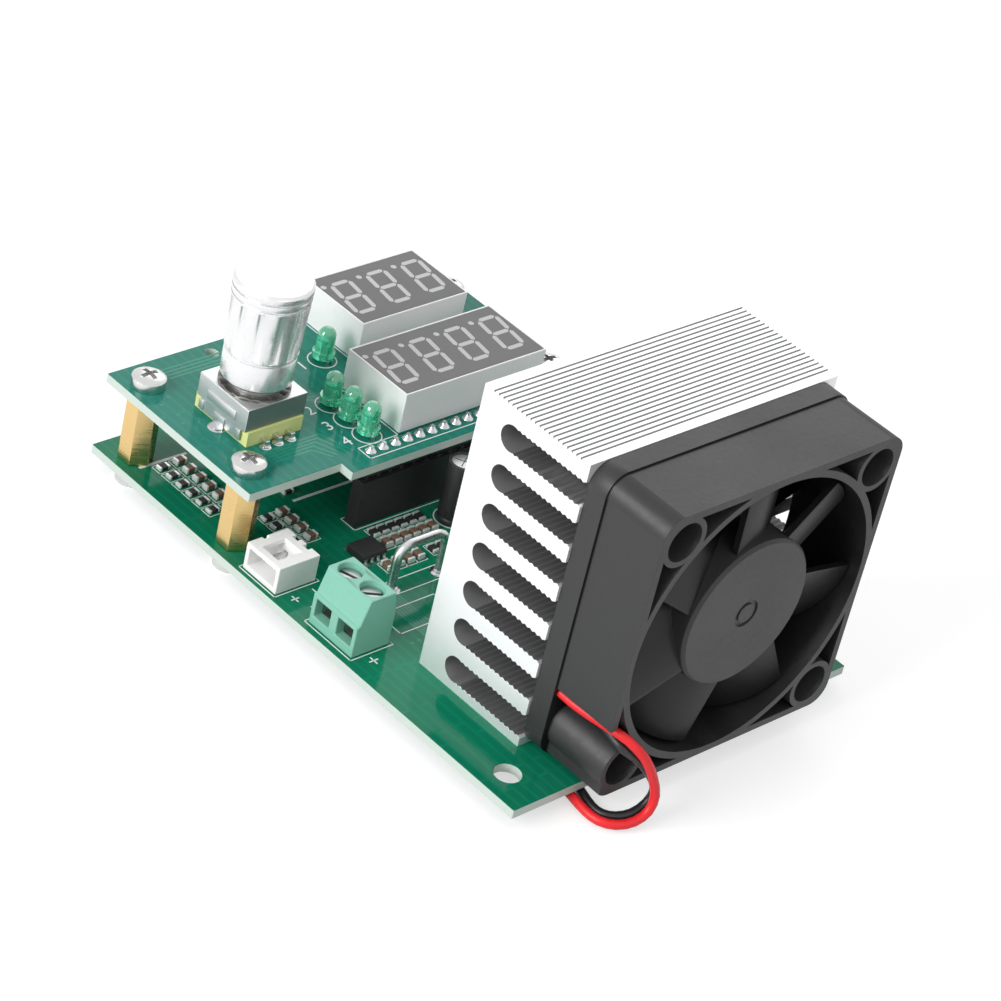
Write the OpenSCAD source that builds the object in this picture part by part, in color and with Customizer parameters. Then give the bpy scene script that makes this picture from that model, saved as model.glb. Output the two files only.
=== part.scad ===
// DC electronic load: a main board with a raised display board, a finned heat sink and a fan.
// Millimetres, +Z up. +X points to the fan end and -Y to the side with the terminals.
// The origin is on the resting surface, under the middle of the object.

/* [Main board] */
// Length of the main board, from the knob end to the fan end
board_l = 99.5; // [92:0.5:104]
// Width of the main board
board_w = 70.5; // [69:0.5:84]
// Thickness of both boards
board_t = 1.6; // [1.2:0.1:2.4]
// Diameter of the open fixing holes at the fan end
fix_hole_d = 4.3; // [3.2:0.1:5]
// Distance from the fan end of the board to a fixing hole
fix_hole_end = 6.7; // [5:0.1:8]
// Distance from a long edge of the board to a fixing hole
fix_hole_side = 4.9; // [3.5:0.1:6]

/* [Display board] */
// Length of the display board along X, without its tab
panel_l = 35.2; // [34:0.2:36.4]
// How far the long edges of the display board stand inside those of the main board
panel_inset = 0.25; // [0:0.05:0.5]
// How far the tab over the board connector stands out
panel_tab_d = 2.7; // [2:0.1:3.4]
// Height of the hexagonal spacers between the boards
standoff_h = 12; // [10:0.5:16]
// Width of a spacer across its flats
standoff_af = 5; // [4.6:0.1:5.5]
// Distance from the knob end to the first pair of spacers
standoff_end = 5.9; // [5:0.1:7]
// Distance between the spacer pairs along X
standoff_pitch = 24.7; // [23:0.1:26]
// Distance from a long edge of the main board to a spacer
standoff_side = 3.95; // [3.4:0.05:4.5]

/* [Screws] */
// Thread diameter of the machine screws
screw_d = 3; // [2.5:0.1:3.2]
// Head diameter of the machine screws
screw_head_d = 5.5; // [4.8:0.1:6]
// Head height of the screws, which also sets the height of the boards
screw_head_h = 2.4; // [2:0.1:3]

/* [Digit displays] */
// Width of a digit display across its digits' height
digit_w = 14; // [13:0.1:14.6]
// Length that one digit takes
digit_pitch = 7.5; // [7:0.1:7.8]
// Height of a digit display above the board
digit_body_h = 7.2; // [6:0.1:9]
// Height of one digit
digit_h = 9.1; // [8:0.1:10]
// Width of one digit
digit_face_w = 4.6; // [4:0.1:5]
// Stroke width of a segment
segment_w = 0.85; // [0.6:0.05:1]

/* [Indicator lamps] */
// Diameter of a lamp's lens
lamp_d = 3; // [2.6:0.1:3.4]
// Height of a lamp above the display board
lamp_h = 6.2; // [5:0.1:8]

/* [Rotary encoder and knob] */
// Side of the encoder's square case
encoder_w = 11.8; // [11:0.1:12.6]
// Height of the encoder's case above the display board
encoder_h = 6.6; // [6:0.1:7.6]
// Diameter of the encoder's shaft
shaft_d = 6; // [5:0.1:6.4]
// Travel of the push switch under the shaft
push_travel = 0.5; // [0.3:0.05:0.7]
// Diameter of the knob at its top
knob_top_d = 12.8; // [11.8:0.1:14]
// Diameter of the plain ring at the knob's foot
knob_foot_d = 11.4; // [10.8:0.1:12]
// Height of the knob
knob_h = 17.6; // [14:0.1:20]
// Gap between the encoder case and the knob
knob_gap = 1.6; // [1.2:0.1:3]
// Number of flutes round the knob
knob_flutes = 12; // [8:1:18]

/* [Board connector] */
// Number of ways in the connector between the boards
link_ways = 14; // [10:1:15]
// Distance between its pins
link_pitch = 2.54; // [2:0.01:2.6]

/* [Wire terminals] */
// Distance between the two poles
pole_pitch = 5; // [4.8:0.1:5.6]
// Depth of the terminal block
terminal_d = 7.5; // [7:0.1:8.5]
// Height of the terminal block
terminal_h = 9.9; // [9.4:0.1:11]
// Diameter of a clamp screw's head
clamp_head_d = 3.4; // [3:0.1:3.6]
// Travel of a clamp screw from open to tight
clamp_travel = 1.75; // [1:0.05:1.9]

/* [Sense socket] */
// Width of the socket
socket_w = 7.8; // [7.2:0.1:8.6]
// Depth of the socket, from its mouth to its back
socket_d = 8; // [7.4:0.1:9]
// Height of the socket
socket_h = 4.8; // [4.4:0.1:5.6]

/* [Heat sink] */
// Distance from the knob end of the board to the heat sink
sink_x = 67; // [66:0.5:70]
// Depth of the heat sink along X
sink_d = 22; // [18:0.5:26]
// Width of the heat sink across the board
sink_w = 51; // [46:0.5:54]
// How far the top of the heat sink stands above the top of the fan
sink_over = 0.1; // [0:0.1:1]
// Thickness of the plate that carries the fins
sink_base_t = 4.9; // [4:0.1:6]
// Number of gaps between the fins
sink_gaps = 7; // [5:1:8]
// Width of one gap between fins
sink_gap_w = 4.3; // [3.6:0.1:4.6]
// Thickness of the bottom fin
sink_bottom_t = 1.5; // [1.2:0.1:3]
// Thickness of the top fin
sink_top_t = 3; // [2:0.1:3.5]
// Distance between the fine ribs on the fins
rib_pitch = 1.05; // [0.8:0.05:1.6]
// Depth of the fine ribs
rib_depth = 0.28; // [0.15:0.01:0.4]

/* [Fan] */
// Side of the square fan frame
fan_size = 50; // [44:0.5:52]
// Depth of the fan frame
fan_d = 15; // [13:0.5:20]
// Distance from a frame side to a screw hole
fan_hole_inset = 5; // [4.6:0.1:5.6]
// Thickness of the flange on the heat sink side
fan_flange_t = 3.6; // [3:0.1:5]
// Thickness of the frame's walls
fan_wall = 1.2; // [0.9:0.1:1.4]
// Diameter of the rotor's hub
hub_d = 25; // [22:0.5:27]
// Number of blades
blades = 7; // [5:1:9]
// Gap between the blade tips and the duct
tip_gap = 0.6; // [0.4:0.1:1.2]
// Diameter of the motor shaft
motor_shaft_d = 2; // [1.5:0.1:2.5]

/* [Current shunt] */
// Diameter of the shunt wire
shunt_d = 1.5; // [1:0.1:2]
// Distance between the legs of the shunt
shunt_span = 9.9; // [8:0.1:11]
// Height of the shunt's arch above the board
shunt_h = 8.7; // [7:0.1:11]

/* [Fan lead] */
// Diameter of each wire of the fan lead
lead_d = 1.5; // [1.2:0.1:1.6]

/* [Hidden] */
$fn = 48;

// Clearances: cut is how far a cutter passes a face, slip is a loose hole's radial gap and
// running is the radial gap of a turning fit.
cut = 1;
slip = 0.1;
running = 0.05;

// The overall length sets where X is zero, and the screw heads carry the main board.
total_l = max(board_l, sink_x + sink_d + fan_d);
board_x0 = -total_l / 2;
board_y0 = -board_w / 2;
board_z1 = screw_head_h + board_t;
hole_d = screw_d + 0.2;

// The display board sits in the knob end of the main board, just inside its edges.
panel_x = 0.5;
panel_y = panel_inset;
panel_w = board_w - 2 * panel_inset;
panel_z = standoff_h + board_t;
tab_y0 = 18.1;
tab_l = link_ways * link_pitch + 10;
edge_hole_d = 2.4;
edge_hole_at = [2.4, 18.8];

// Places on the display board, from its knob-end corner on the terminal side. The displays keep
// clear of the screws at the far edge, the lamps of the displays and the encoder of the lamps.
encoder_share = 0.18;
four_clear = 8.3;
three_clear = 8.95;
lamp_row_clear = 4.9;
lamp_single_clear = 4.65;
four_l = 4 * digit_pitch;
three_l = 3 * digit_pitch;
encoder_at = [19.1, encoder_share * panel_w];
four_at = [26, panel_w - four_clear - four_l / 2];
three_at = [7.6, panel_w - three_clear - three_l / 2];
lamp_row_at = [22.1, four_at[1] - four_l / 2 - lamp_row_clear];
lamp_pitch = 4.5;
lamp_single_at = [11.7, three_at[1] - three_l / 2 - lamp_single_clear];
lamp_places = concat([lamp_single_at], [for (i = [0:2]) lamp_row_at + [i * lamp_pitch, 0]]);
lamp_lead_pitch = 2.54;
lamp_lead_w = 0.5;
link_at = [34.7, 24.5];
link_places = [for (i = [0:link_ways - 1]) link_at + [0, i * link_pitch]];

// Digit displays: two rows of pins under each body, and a face plate let into its top.
pin_pitch = 2.54;
pins_per_row = 6;
pin_row_gap = 10.16;
pin_d = 0.5;
pin_hole_d = 0.9;
pin_below = 1.4;
face_t = 0.6;
face_rim = 0.35;
segment_gap = 0.16;
point_d = 1;
point_gap = 0.1;
digit_slant = 8;
digit_places = [
    for (i = [0:3]) four_at + [0, (i - 1.5) * digit_pitch],
    for (i = [0:2]) three_at + [0, (i - 1) * digit_pitch]
];
display_pin_places = [
    for (at = [four_at, three_at], side = [-1, 1], i = [0:pins_per_row - 1])
        at + [side * pin_row_gap / 2, (i - (pins_per_row - 1) / 2) * pin_pitch]
];

// Encoder: pins in a row of three and a row of two, and two lugs on the metal cover.
encoder_sheet = 0.4;
encoder_foot_h = 2.6;
encoder_pin_row = 7.4;
encoder_pin_pitch = 2.5;
encoder_pin_places = [
    for (i = [-1:1]) encoder_at + [encoder_pin_row, i * encoder_pin_pitch],
    for (i = [-1, 1]) encoder_at + [-encoder_pin_row, i * encoder_pin_pitch]
];
encoder_pin_w = 0.8;
lug_w = 2;
lug_hole_d = 2.4;
lug_places = [for (side = [-1, 1]) encoder_at + [0, side * (encoder_w - encoder_sheet) / 2]];
bushing_d = shaft_d + 1;
bushing_h = 5;
shaft_seat_z = 2;
plunger_h = 0.9;
knob_z = encoder_h + knob_gap;
knob_bore_h = knob_h - 1.8;
knob_foot_h = 4.6;

// Places on the main board, from its knob-end corner on the terminal side.
spacer_places = [
    for (x = [standoff_end, standoff_end + standoff_pitch])
        for (y = [standoff_side, board_w - standoff_side]) [x, y]
];
fix_places = [for (y = [fix_hole_side, board_w - fix_hole_side]) [board_l - fix_hole_end, y]];
terminal_at = [51.4, 1.6];
socket_at = [36.2, 1.2];
shunt_at = [51.1, 18.4];
capacitor_at = [41.4, 39.6];
capacitor_d = 5;
capacitor_h = 11;
controller_at = [18, 32];
amplifier_at = [42.4, 20.8];

// Board connector: the socket stands on the main board and the header hangs under the other one.
link_w = 2.5;
link_header_h = 2.5;
link_mate_gap = 1;
link_socket_h = standoff_h - link_header_h - link_mate_gap;
link_pin_w = 0.64;
link_hole_d = 1.02;

// Terminal block: one chamber, screw well and wire window for each pole.
poles = 2;
terminal_w = poles * pole_pitch;
pole_places = [for (i = [0:poles - 1]) terminal_at + [(i + 0.5) * pole_pitch, terminal_d * 0.55]];
cage_w = 3.9;
cage_d = 4.2;
cage_t = 0.6;
cage_z0 = 1;
cage_z1 = 5.6;
cage_wall = 0.5;
clamp_thread_d = 2.5;
clamp_head_h = 1.4;
clamp_head_z = cage_z1 + clamp_travel + 0.15;
leaf_t = 0.4;
leaf_z = cage_z1 - cage_t - leaf_t - 0.1;
window_w = 3.4;
window_z0 = cage_z0 + cage_t;
window_h = cage_z1 - 2 * cage_t - cage_z0 - 0.2;
block_wall = 0.9;
pole_pin_w = 0.9;
pole_hole_d = 1.5;
ledge_z = terminal_h * 0.55;

// Sense socket: a shroud whose mouth faces the board's edge, with bent pins at its back.
socket_wall = 0.8;
socket_floor = 0.9;
socket_back = 2.2;
sense_pitch = 2.5;
sense_pin_w = 0.64;
sense_places = [
    for (i = [-0.5, 0.5]) socket_at + [socket_w / 2 + i * sense_pitch, socket_d + 0.8]
];
sense_pin_z = socket_h / 2;

// Heat sink: as tall as the fan, with the gaps spread evenly between its bottom and top fins
// and thin grooves along its top.
fan_lift = 0.2;
sink_h = fan_lift + fan_size + sink_over;
sink_y = (board_w - sink_w) / 2 + 0.55;
sink_pitch = (sink_h - sink_bottom_t - sink_top_t - sink_gap_w) / (sink_gaps - 1);
gap_places = [for (i = [0:sink_gaps - 1]) sink_bottom_t + sink_gap_w / 2 + i * sink_pitch];
groove_pitch = 0.95;
groove_w = 0.36;
groove_depth = 0.4;
groove_margin = 1.9;
sink_screw_inset = 8;
sink_screw_places = [
    for (x = [sink_base_t / 2, sink_d - 4])
        for (y = [sink_screw_inset, sink_w - sink_screw_inset]) [sink_x + x, sink_y + y]
];
sink_screw_l = board_t + sink_bottom_t + 2;

// Power transistor: its back lies on a pad on the heat sink, and its legs go into the board.
transistor_w = 15.8;
transistor_h = 20.6;
transistor_t = 4.6;
transistor_z = 6.5;
transistor_tab_t = 1.5;
transistor_pad_t = 0.3;
transistor_hole_d = 3.6;
transistor_hole_z = transistor_z + transistor_h - 6;
transistor_y = sink_y + sink_w / 2;
transistor_leg_pitch = 5.45;
transistor_leg_w = 1.1;
transistor_leg_t = 0.6;
transistor_leg_x = sink_x - transistor_pad_t - transistor_tab_t - 1;
transistor_leg_places = [
    for (i = [-1:1]) [transistor_leg_x, transistor_y + i * transistor_leg_pitch]
];
transistor_leg_hole_d = 1.7;
transistor_screw_l = 3.8;

// Fan: it stands just clear of the main board, against the tips of the fins.
fan_x = sink_x + sink_d;
fan_y = sink_y + sink_w / 2;
fan_z = fan_lift + fan_size / 2;
fan_corner_r = 3.6;
fan_step = 0.3;
fan_half_pitch = fan_size / 2 - fan_hole_inset;
fan_boss_d = 8.3;
fan_bore_d = 6.4;
fan_screw_d = sink_gap_w - 0.4;
fan_head_d = fan_bore_d - 0.5;
duct_r = fan_size / 2 - fan_step - fan_wall;
tip_r = duct_r - tip_gap;
hub_r = hub_d / 2;
hub_wall = 1;
hub_front = fan_d - 0.8;
hub_front_t = 1.4;
hub_edge = 0.5;
hub_rear = 3.2;
motor_seat_t = 1.6;
motor_seat_r = hub_r + 0.5;
tube_r = 3.6;
bearing_r = 2.6;
bearing_z0 = motor_seat_t + 0.3;
bearing_z1 = hub_front - hub_front_t - 2.2;
strut_w = 2.4;
strut_angles = [20, 110, 200, 290];
fan_screw_tip = 9;
fan_head_h = 1.8;
lead_cut_z = 13.2;
shaft_end = fan_d - 1.5;
dimple_r = 1.6;
dimple_w = 0.7;
dimple_depth = 0.3;

// Motor in the hub: a magnet ring, and a wound stator and a round circuit on the bearing tube.
magnet_lift = 0.6;
magnet_h = 6.4;
magnet_t = 1.4;
magnet_r = hub_r - hub_wall;
stator_arms = 4;
stator_lift = 1.2;
stator_h = 5;
stator_ring_t = 1.6;
stator_arm_w = 3.2;
stator_shoe_w = 8;
stator_shoe_t = 1.4;
stator_inset = 0.6;
stator_gap = 0.4;
stator_r = magnet_r - magnet_t - stator_gap;
circuit_t = 1;
circuit_gap = 0.6;

// Blade section: an arc from the rear edge to the front edge, in tangential and axial lengths.
blade_half_w = 8;
blade_z0 = 4;
blade_z1 = hub_front - 1.4;
blade_arc_r = 22;
blade_t = 1;
blade_sweep = 16;
blade_mid = [0, (blade_z0 + blade_z1) / 2];
blade_chord = [2 * blade_half_w, blade_z1 - blade_z0];
blade_normal = [-blade_chord[1], blade_chord[0]] / norm(blade_chord);
blade_sagitta = sqrt(blade_arc_r ^ 2 - (norm(blade_chord) / 2) ^ 2);
blade_centre = blade_mid - blade_sagitta * blade_normal;

// Small surface-mounted parts: rows of [first place, step, count, turn].
chip_l = 2;
chip_w = 1.25;
resistor_h = 0.55;
capacitor_chip_h = 0.9;
chip_end_l = 0.4;
chip_end_over = 0.04;
resistor_rows = [
    [[10.2, 6.1], [2.5, 0], 6, 90],
    [[38.9, 25.4], [0, 1.9], 6, 0],
    [[28.2, 12.6], [2.3, 0], 4, 90],
    [[46.4, 31.2], [0, 1.9], 4, 0],
    [[12, 20], [3, 0], 5, 90]
];
capacitor_rows = [
    [[10.2, 9.4], [2.5, 0], 6, 90],
    [[41.9, 25.4], [0, 1.9], 6, 0],
    [[28.2, 15.6], [2.3, 0], 4, 90],
    [[46.6, 21.6], [0, 2.1], 4, 0],
    [[12, 42], [3, 0], 5, 90]
];

// Routes of the fan lead's wires: from the flange, round the fan's corner and under the board.
// Both ends are square to X.
lead_start = fan_x + fan_flange_t + board_x0;
lead_route_red = [
    [lead_start, -23, 16], [43, -22.9, 15.8], [46.2, -22.5, 15.7], [49.7, -22, 15.8],
    [53, -21, 15.3], [55.1, -19, 12.9], [55.9, -16.9, 9.1], [56.4, -15.8, 5.6],
    [56.5, -16.4, 2.9], [56.2, -18.6, 1.6], [55.2, -21.2, 1.3], [53.2, -22.9, 1.3],
    [50.6, -23.2, 1.35], [47.4, -22.8, 1.45], [44, -22.4, 1.6], [41.5, -22.3, 1.6]
];
lead_route_black = [
    [lead_start, -21.5, 15.2], [43, -21.4, 15], [46.1, -21.1, 14.8], [49.5, -21.1, 14.3],
    [52.7, -21.4, 13.7], [53.3, -19, 11.8], [54.4, -16.2, 8.7], [55.2, -14.7, 5.6],
    [55, -15.4, 2.9], [54.7, -17.8, 1.7], [53.8, -20.1, 1.4], [52.3, -21.4, 1.3],
    [50.4, -21.6, 1.3], [47.6, -20.9, 1.4], [44.2, -20, 1.6], [41.5, -19.8, 1.6]
];
lead_sides = 8;
lead_pad = [2.2, 1.8, 1.6];

// Places a child on the main board's top face, from its knob-end corner on the terminal side.
module on_main(at, z = 0) {
    translate([board_x0 + at[0], board_y0 + at[1], board_z1 + z]) children();
}

// Places a child on the display board's top face, from the same corner of that board.
module on_panel(at, z = 0) {
    on_main([panel_x + at[0], panel_y + at[1]], panel_z + z) children();
}

// Places a child with its Z along the fan's axis and its zero on the heat sink side.
module on_fan() {
    on_main([fan_x, fan_y], fan_z) rotate([0, 90, 0]) children();
}

// A round hole through a board, below the place that it is put at.
module board_hole(d) {
    translate([0, 0, -board_t - cut]) cylinder(d = d, h = board_t + 2 * cut);
}

// A box centred in X and Y that stands on the place that it is put at.
module post(x, y, h) {
    translate([-x / 2, -y / 2, 0]) cube([x, y, h]);
}

module cross_recess(depth) {
    for (turn = [0, 90]) rotate(turn) post(0.8, 3, depth + cut);
}

// Round-headed screw that stands head up on its seat.
module pan_screw(length) {
    dome_r = screw_head_d;
    difference() {
        union() {
            rotate_extrude() intersection() {
                square([screw_head_d / 2, screw_head_h]);
                translate([0, screw_head_h - dome_r]) circle(r = dome_r);
            }
            translate([0, 0, -length]) cylinder(d = screw_d, h = length);
        }
        translate([0, 0, screw_head_h / 2]) cross_recess(screw_head_h / 2);
    }
}

// Flat-headed screw that comes up from below, with its head under its seat.
module cheese_screw(length) {
    difference() {
        union() {
            translate([0, 0, -screw_head_h]) cylinder(d = screw_head_d, h = screw_head_h);
            cylinder(d = screw_d, h = length);
        }
        translate([0, 0, -screw_head_h - cut]) cross_recess(screw_head_h / 2);
    }
}

// Square with round corners, centred.
module round_square(side, r) {
    inner = side - 2 * r;
    square([side, inner], center = true);
    square([inner, side], center = true);
    for (x = [-1, 1], y = [-1, 1]) translate([x, y] * inner / 2) circle(r = r);
}

// Boards
module main_board() {
    color("#0f6b45") difference() {
        on_main([0, 0], -board_t) cube([board_l, board_w, board_t]);
        for (at = spacer_places) on_main(at) board_hole(hole_d);
        for (at = sink_screw_places) on_main(at) board_hole(hole_d);
        for (at = fix_places) on_main(at) board_hole(fix_hole_d);
        for (at = link_places) on_main(at + [panel_x, panel_y]) board_hole(link_hole_d);
        for (at = pole_places) on_main(at) board_hole(pole_hole_d);
        for (at = sense_places) on_main(at) board_hole(link_hole_d);
        for (at = transistor_leg_places) on_main(at) board_hole(transistor_leg_hole_d);
        for (y = [0, shunt_span]) on_main(shunt_at + [0, y]) board_hole(shunt_d + 0.3);
    }
}

module display_board() {
    color("#117a4e") difference() {
        union() {
            on_panel([0, 0], -board_t) cube([panel_l, panel_w, board_t]);
            on_panel([panel_l, tab_y0], -board_t) cube([panel_tab_d, tab_l, board_t]);
        }
        for (at = spacer_places) on_panel(at - [panel_x, panel_y]) board_hole(hole_d);
        for (at = link_places) on_panel(at) board_hole(link_hole_d);
        for (at = display_pin_places) on_panel(at) board_hole(pin_hole_d);
        for (at = encoder_pin_places) on_panel(at) board_hole(encoder_pin_w * sqrt(2) + slip);
        for (at = lug_places) on_panel(at) board_hole(lug_hole_d);
        for (at = lamp_places, side = [-1, 1])
            on_panel(at + [side * lamp_lead_pitch / 2, 0]) board_hole(pin_hole_d);
        on_panel(edge_hole_at) board_hole(edge_hole_d);
    }
}

module standoffs() {
    color("#c9a24a") for (at = spacer_places) on_main(at) difference() {
        cylinder(d = standoff_af / cos(30), h = standoff_h, $fn = 6);
        translate([0, 0, -cut]) cylinder(d = screw_d + 0.1, h = standoff_h + 2 * cut);
    }
}

module display_screws() {
    color("#d8d8d8") for (at = spacer_places)
        on_main(at, panel_z) pan_screw(board_t + standoff_h * 0.45);
}

module base_screws() {
    color("#c8c8c8") for (at = spacer_places)
        on_main(at, -board_t) cheese_screw(board_t + standoff_h * 0.4);
}

module sink_screws() {
    color("#c8c8c8") for (at = sink_screw_places) on_main(at, -board_t) cheese_screw(sink_screw_l);
}

// Heat sink
// Zigzag of fine ribs along a line of the given length, as points that start on the line.
function ribs(length) = let (n = floor(length / rib_pitch))
    [for (i = [0:n - 1]) each [[(i + 0.1) * rib_pitch, 0], [(i + 0.55) * rib_pitch, rib_depth]]];

// One gap between fins, cut in from the tips, with ribbed sides and a round root.
module fin_gap() {
    depth = sink_d - sink_base_t - sink_gap_w / 2;
    half = sink_gap_w / 2;
    low = [for (p = ribs(depth)) [sink_d - p[0], -half + p[1]]];
    high = [for (p = ribs(depth)) [sink_d - p[0], half - p[1]]];
    root_x = sink_base_t + half;
    polygon(concat(
        [[sink_d + cut, -half]], low, [[root_x, -half], [root_x, half]],
        [for (i = [len(high) - 1:-1:0]) high[i]], [[sink_d + cut, half]]
    ));
    translate([root_x, 0]) circle(r = half);
}

module sink_profile() {
    grooves = floor((sink_d - 2 * groove_margin) / groove_pitch);
    top = [
        for (i = [0:grooves]) let (x = sink_d - groove_margin - i * groove_pitch)
            each [[x + groove_w / 2, sink_h], [x, sink_h - groove_depth], [x - groove_w / 2, sink_h]]
    ];
    difference() {
        polygon(concat([[0, 0], [sink_d, 0], [sink_d, sink_h]], top, [[0, sink_h]]));
        for (z = gap_places) translate([0, z]) fin_gap();
    }
}

module heat_sink() {
    color("#d9dcde") difference() {
        on_main([sink_x, sink_y + sink_w]) rotate([90, 0, 0]) linear_extrude(sink_w) sink_profile();
        for (at = sink_screw_places)
            on_main(at, -cut) cylinder(d = screw_d + 0.1, h = sink_bottom_t + 2 + 2 * cut);
        on_main([sink_x - cut, transistor_y], transistor_hole_z)
            rotate([0, 90, 0]) cylinder(d = screw_d + 0.1, h = sink_base_t + cut);
        on_fan() for (x = [-1, 1], y = [-1, 1])
            translate([x * fan_half_pitch, y * fan_half_pitch, -fan_screw_tip - 0.5])
                cylinder(d = fan_screw_d + 0.1, h = fan_screw_tip + cut);
    }
}

// Power transistor
module transistor_hole(x) {
    on_main([x, transistor_y], transistor_hole_z)
        rotate([0, -90, 0]) cylinder(d = transistor_hole_d, h = transistor_t + 2 * cut);
}

module power_transistor() {
    back_x = sink_x - transistor_pad_t;
    slope = 0.6;
    color("#26282b") difference() {
        on_main([back_x, transistor_y + transistor_w / 2], transistor_z) rotate([90, 0, 0])
            linear_extrude(transistor_w) polygon([
                [-transistor_tab_t, 0], [-transistor_t + slope, 0], [-transistor_t, slope],
                [-transistor_t, transistor_h - slope], [-transistor_t + slope, transistor_h],
                [-transistor_tab_t, transistor_h]
            ]);
        transistor_hole(back_x + cut);
    }
}

module transistor_leads() {
    back_x = sink_x - transistor_pad_t;
    color("#c3c6c8") difference() {
        on_main([back_x - transistor_tab_t, transistor_y - transistor_w / 2 + 0.6], transistor_z)
            cube([transistor_tab_t, transistor_w - 1.2, transistor_h]);
        transistor_hole(back_x + cut);
    }
    color("#c3c6c8") for (at = transistor_leg_places)
        on_main(at, -board_t - pin_below)
            post(transistor_leg_t, transistor_leg_w, transistor_z + board_t + pin_below);
}

module transistor_pad() {
    over = 0.8;
    color("#b9c4cc") difference() {
        on_main([sink_x - transistor_pad_t, transistor_y - transistor_w / 2 - over], transistor_z - over)
            cube([transistor_pad_t, transistor_w + 2 * over, transistor_h + 2 * over]);
        transistor_hole(sink_x + cut);
    }
}

module transistor_screw() {
    color("#d0d0d0") on_main([sink_x - transistor_pad_t - transistor_t, transistor_y], transistor_hole_z)
        rotate([0, -90, 0]) pan_screw(transistor_t + transistor_screw_l);
}

// Fan
module fan_corners() {
    for (x = [-1, 1], y = [-1, 1]) translate([x, y] * fan_half_pitch) children();
}

// Pockets between the round duct, the outer walls and the screw bosses.
module fan_pockets() {
    difference() {
        round_square(fan_size - 2 * (fan_step + fan_wall), fan_corner_r - fan_step - fan_wall);
        circle(r = duct_r + fan_wall);
        fan_corners() circle(d = fan_boss_d);
    }
}

module fan_frame() {
    front_side = fan_size - 2 * fan_step;
    cut_x = fan_z - lead_cut_z;
    color("#3a3b3d") on_fan() difference() {
        union() {
            difference() {
                union() {
                    linear_extrude(fan_flange_t) round_square(fan_size, fan_corner_r);
                    linear_extrude(fan_d) round_square(front_side, fan_corner_r - fan_step);
                }
                translate([0, 0, -cut]) cylinder(r = duct_r, h = fan_d + 2 * cut);
                translate([0, 0, fan_flange_t]) linear_extrude(fan_d) fan_pockets();
                translate([cut_x, -fan_size / 2 - cut, fan_flange_t])
                    cube([fan_size, fan_step + fan_wall + cut, fan_d]);
            }
            fan_corners() cylinder(d = fan_boss_d, h = fan_d);
            cylinder(r = motor_seat_r, h = motor_seat_t);
            cylinder(r = tube_r, h = bearing_z1);
            for (turn = strut_angles) rotate(turn) translate([motor_seat_r - 0.5, -strut_w / 2, 0])
                cube([duct_r - motor_seat_r + 1, strut_w, motor_seat_t]);
        }
        fan_corners() {
            translate([0, 0, -cut]) cylinder(d = fan_screw_d + 0.3, h = fan_d);
            translate([0, 0, fan_flange_t]) cylinder(d = fan_bore_d, h = fan_d);
        }
        translate([0, 0, bearing_z0]) cylinder(r = bearing_r, h = fan_d);
    }
}

// Section of a blade: a bent plate with square edges.
module blade_section() {
    rear = [-blade_half_w, blade_z0];
    front = [blade_half_w, blade_z1];
    intersection() {
        translate(blade_centre) difference() {
            circle(r = blade_arc_r + blade_t / 2, $fn = 96);
            circle(r = blade_arc_r - blade_t / 2, $fn = 96);
        }
        polygon([blade_centre, 2 * rear - blade_centre, 2 * front - blade_centre]);
    }
}

// One blade: its section runs out from the hub, swept forward, and is trimmed to the duct.
module fan_blade() {
    intersection() {
        translate([hub_r, 0, 0]) rotate(blade_sweep) translate([-hub_r, 0, 0])
            rotate([90, 0, 90]) linear_extrude(2 * tip_r) blade_section();
        linear_extrude(fan_d) difference() {
            circle(r = tip_r, $fn = 96);
            circle(r = hub_r - hub_wall / 2);
        }
    }
}

module fan_rotor() {
    boss_r = tube_r - 1;
    color("#4a4b4d") on_fan() {
        rotate_extrude() {
            difference() {
                polygon([
                    [0, hub_rear], [hub_r, hub_rear], [hub_r, hub_front - hub_edge],
                    [hub_r - hub_edge, hub_front], [0, hub_front]
                ]);
                translate([0, hub_rear - cut])
                    square([hub_r - hub_wall, hub_front - hub_front_t - hub_rear + cut]);
                square([motor_shaft_d / 2, shaft_end]);
                translate([dimple_r, hub_front - dimple_depth]) square([dimple_w, cut]);
            }
            translate([motor_shaft_d / 2, bearing_z1 + 0.3])
                square([boss_r - motor_shaft_d / 2, hub_front - hub_front_t - bearing_z1]);
        }
        for (i = [0:blades - 1]) rotate(i * 360 / blades + 12) fan_blade();
    }
}

module fan_magnet() {
    color("#2b2b2e") on_fan() translate([0, 0, hub_rear + magnet_lift]) difference() {
        cylinder(r = magnet_r, h = magnet_h);
        translate([0, 0, -cut]) cylinder(r = magnet_r - magnet_t, h = magnet_h + 2 * cut);
    }
}

module fan_shaft() {
    color("#c5c8ca") on_fan() translate([0, 0, bearing_z0])
        cylinder(d = motor_shaft_d, h = shaft_end - bearing_z0);
}

module fan_bearing() {
    color("#a8763e") on_fan() translate([0, 0, bearing_z0]) difference() {
        cylinder(r = bearing_r, h = bearing_z1 - bearing_z0);
        translate([0, 0, -cut]) cylinder(r = motor_shaft_d / 2 + running, h = fan_d);
    }
}

module fan_stator() {
    arm_h = stator_h - 2 * stator_inset;
    color("#b5673a") on_fan() translate([0, 0, hub_rear + stator_lift]) difference() {
        union() {
            cylinder(r = tube_r + stator_ring_t, h = stator_h);
            for (i = [0:stator_arms - 1]) rotate(i * 360 / stator_arms + 45) intersection() {
                cylinder(r = stator_r, h = stator_h);
                union() {
                    translate([0, -stator_arm_w / 2, stator_inset]) cube([stator_r, stator_arm_w, arm_h]);
                    translate([stator_r - stator_shoe_t, -stator_shoe_w / 2, 0])
                        cube([2 * stator_shoe_t, stator_shoe_w, stator_h]);
                }
            }
        }
        translate([0, 0, -cut]) cylinder(r = tube_r + running, h = stator_h + 2 * cut);
    }
}

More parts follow.
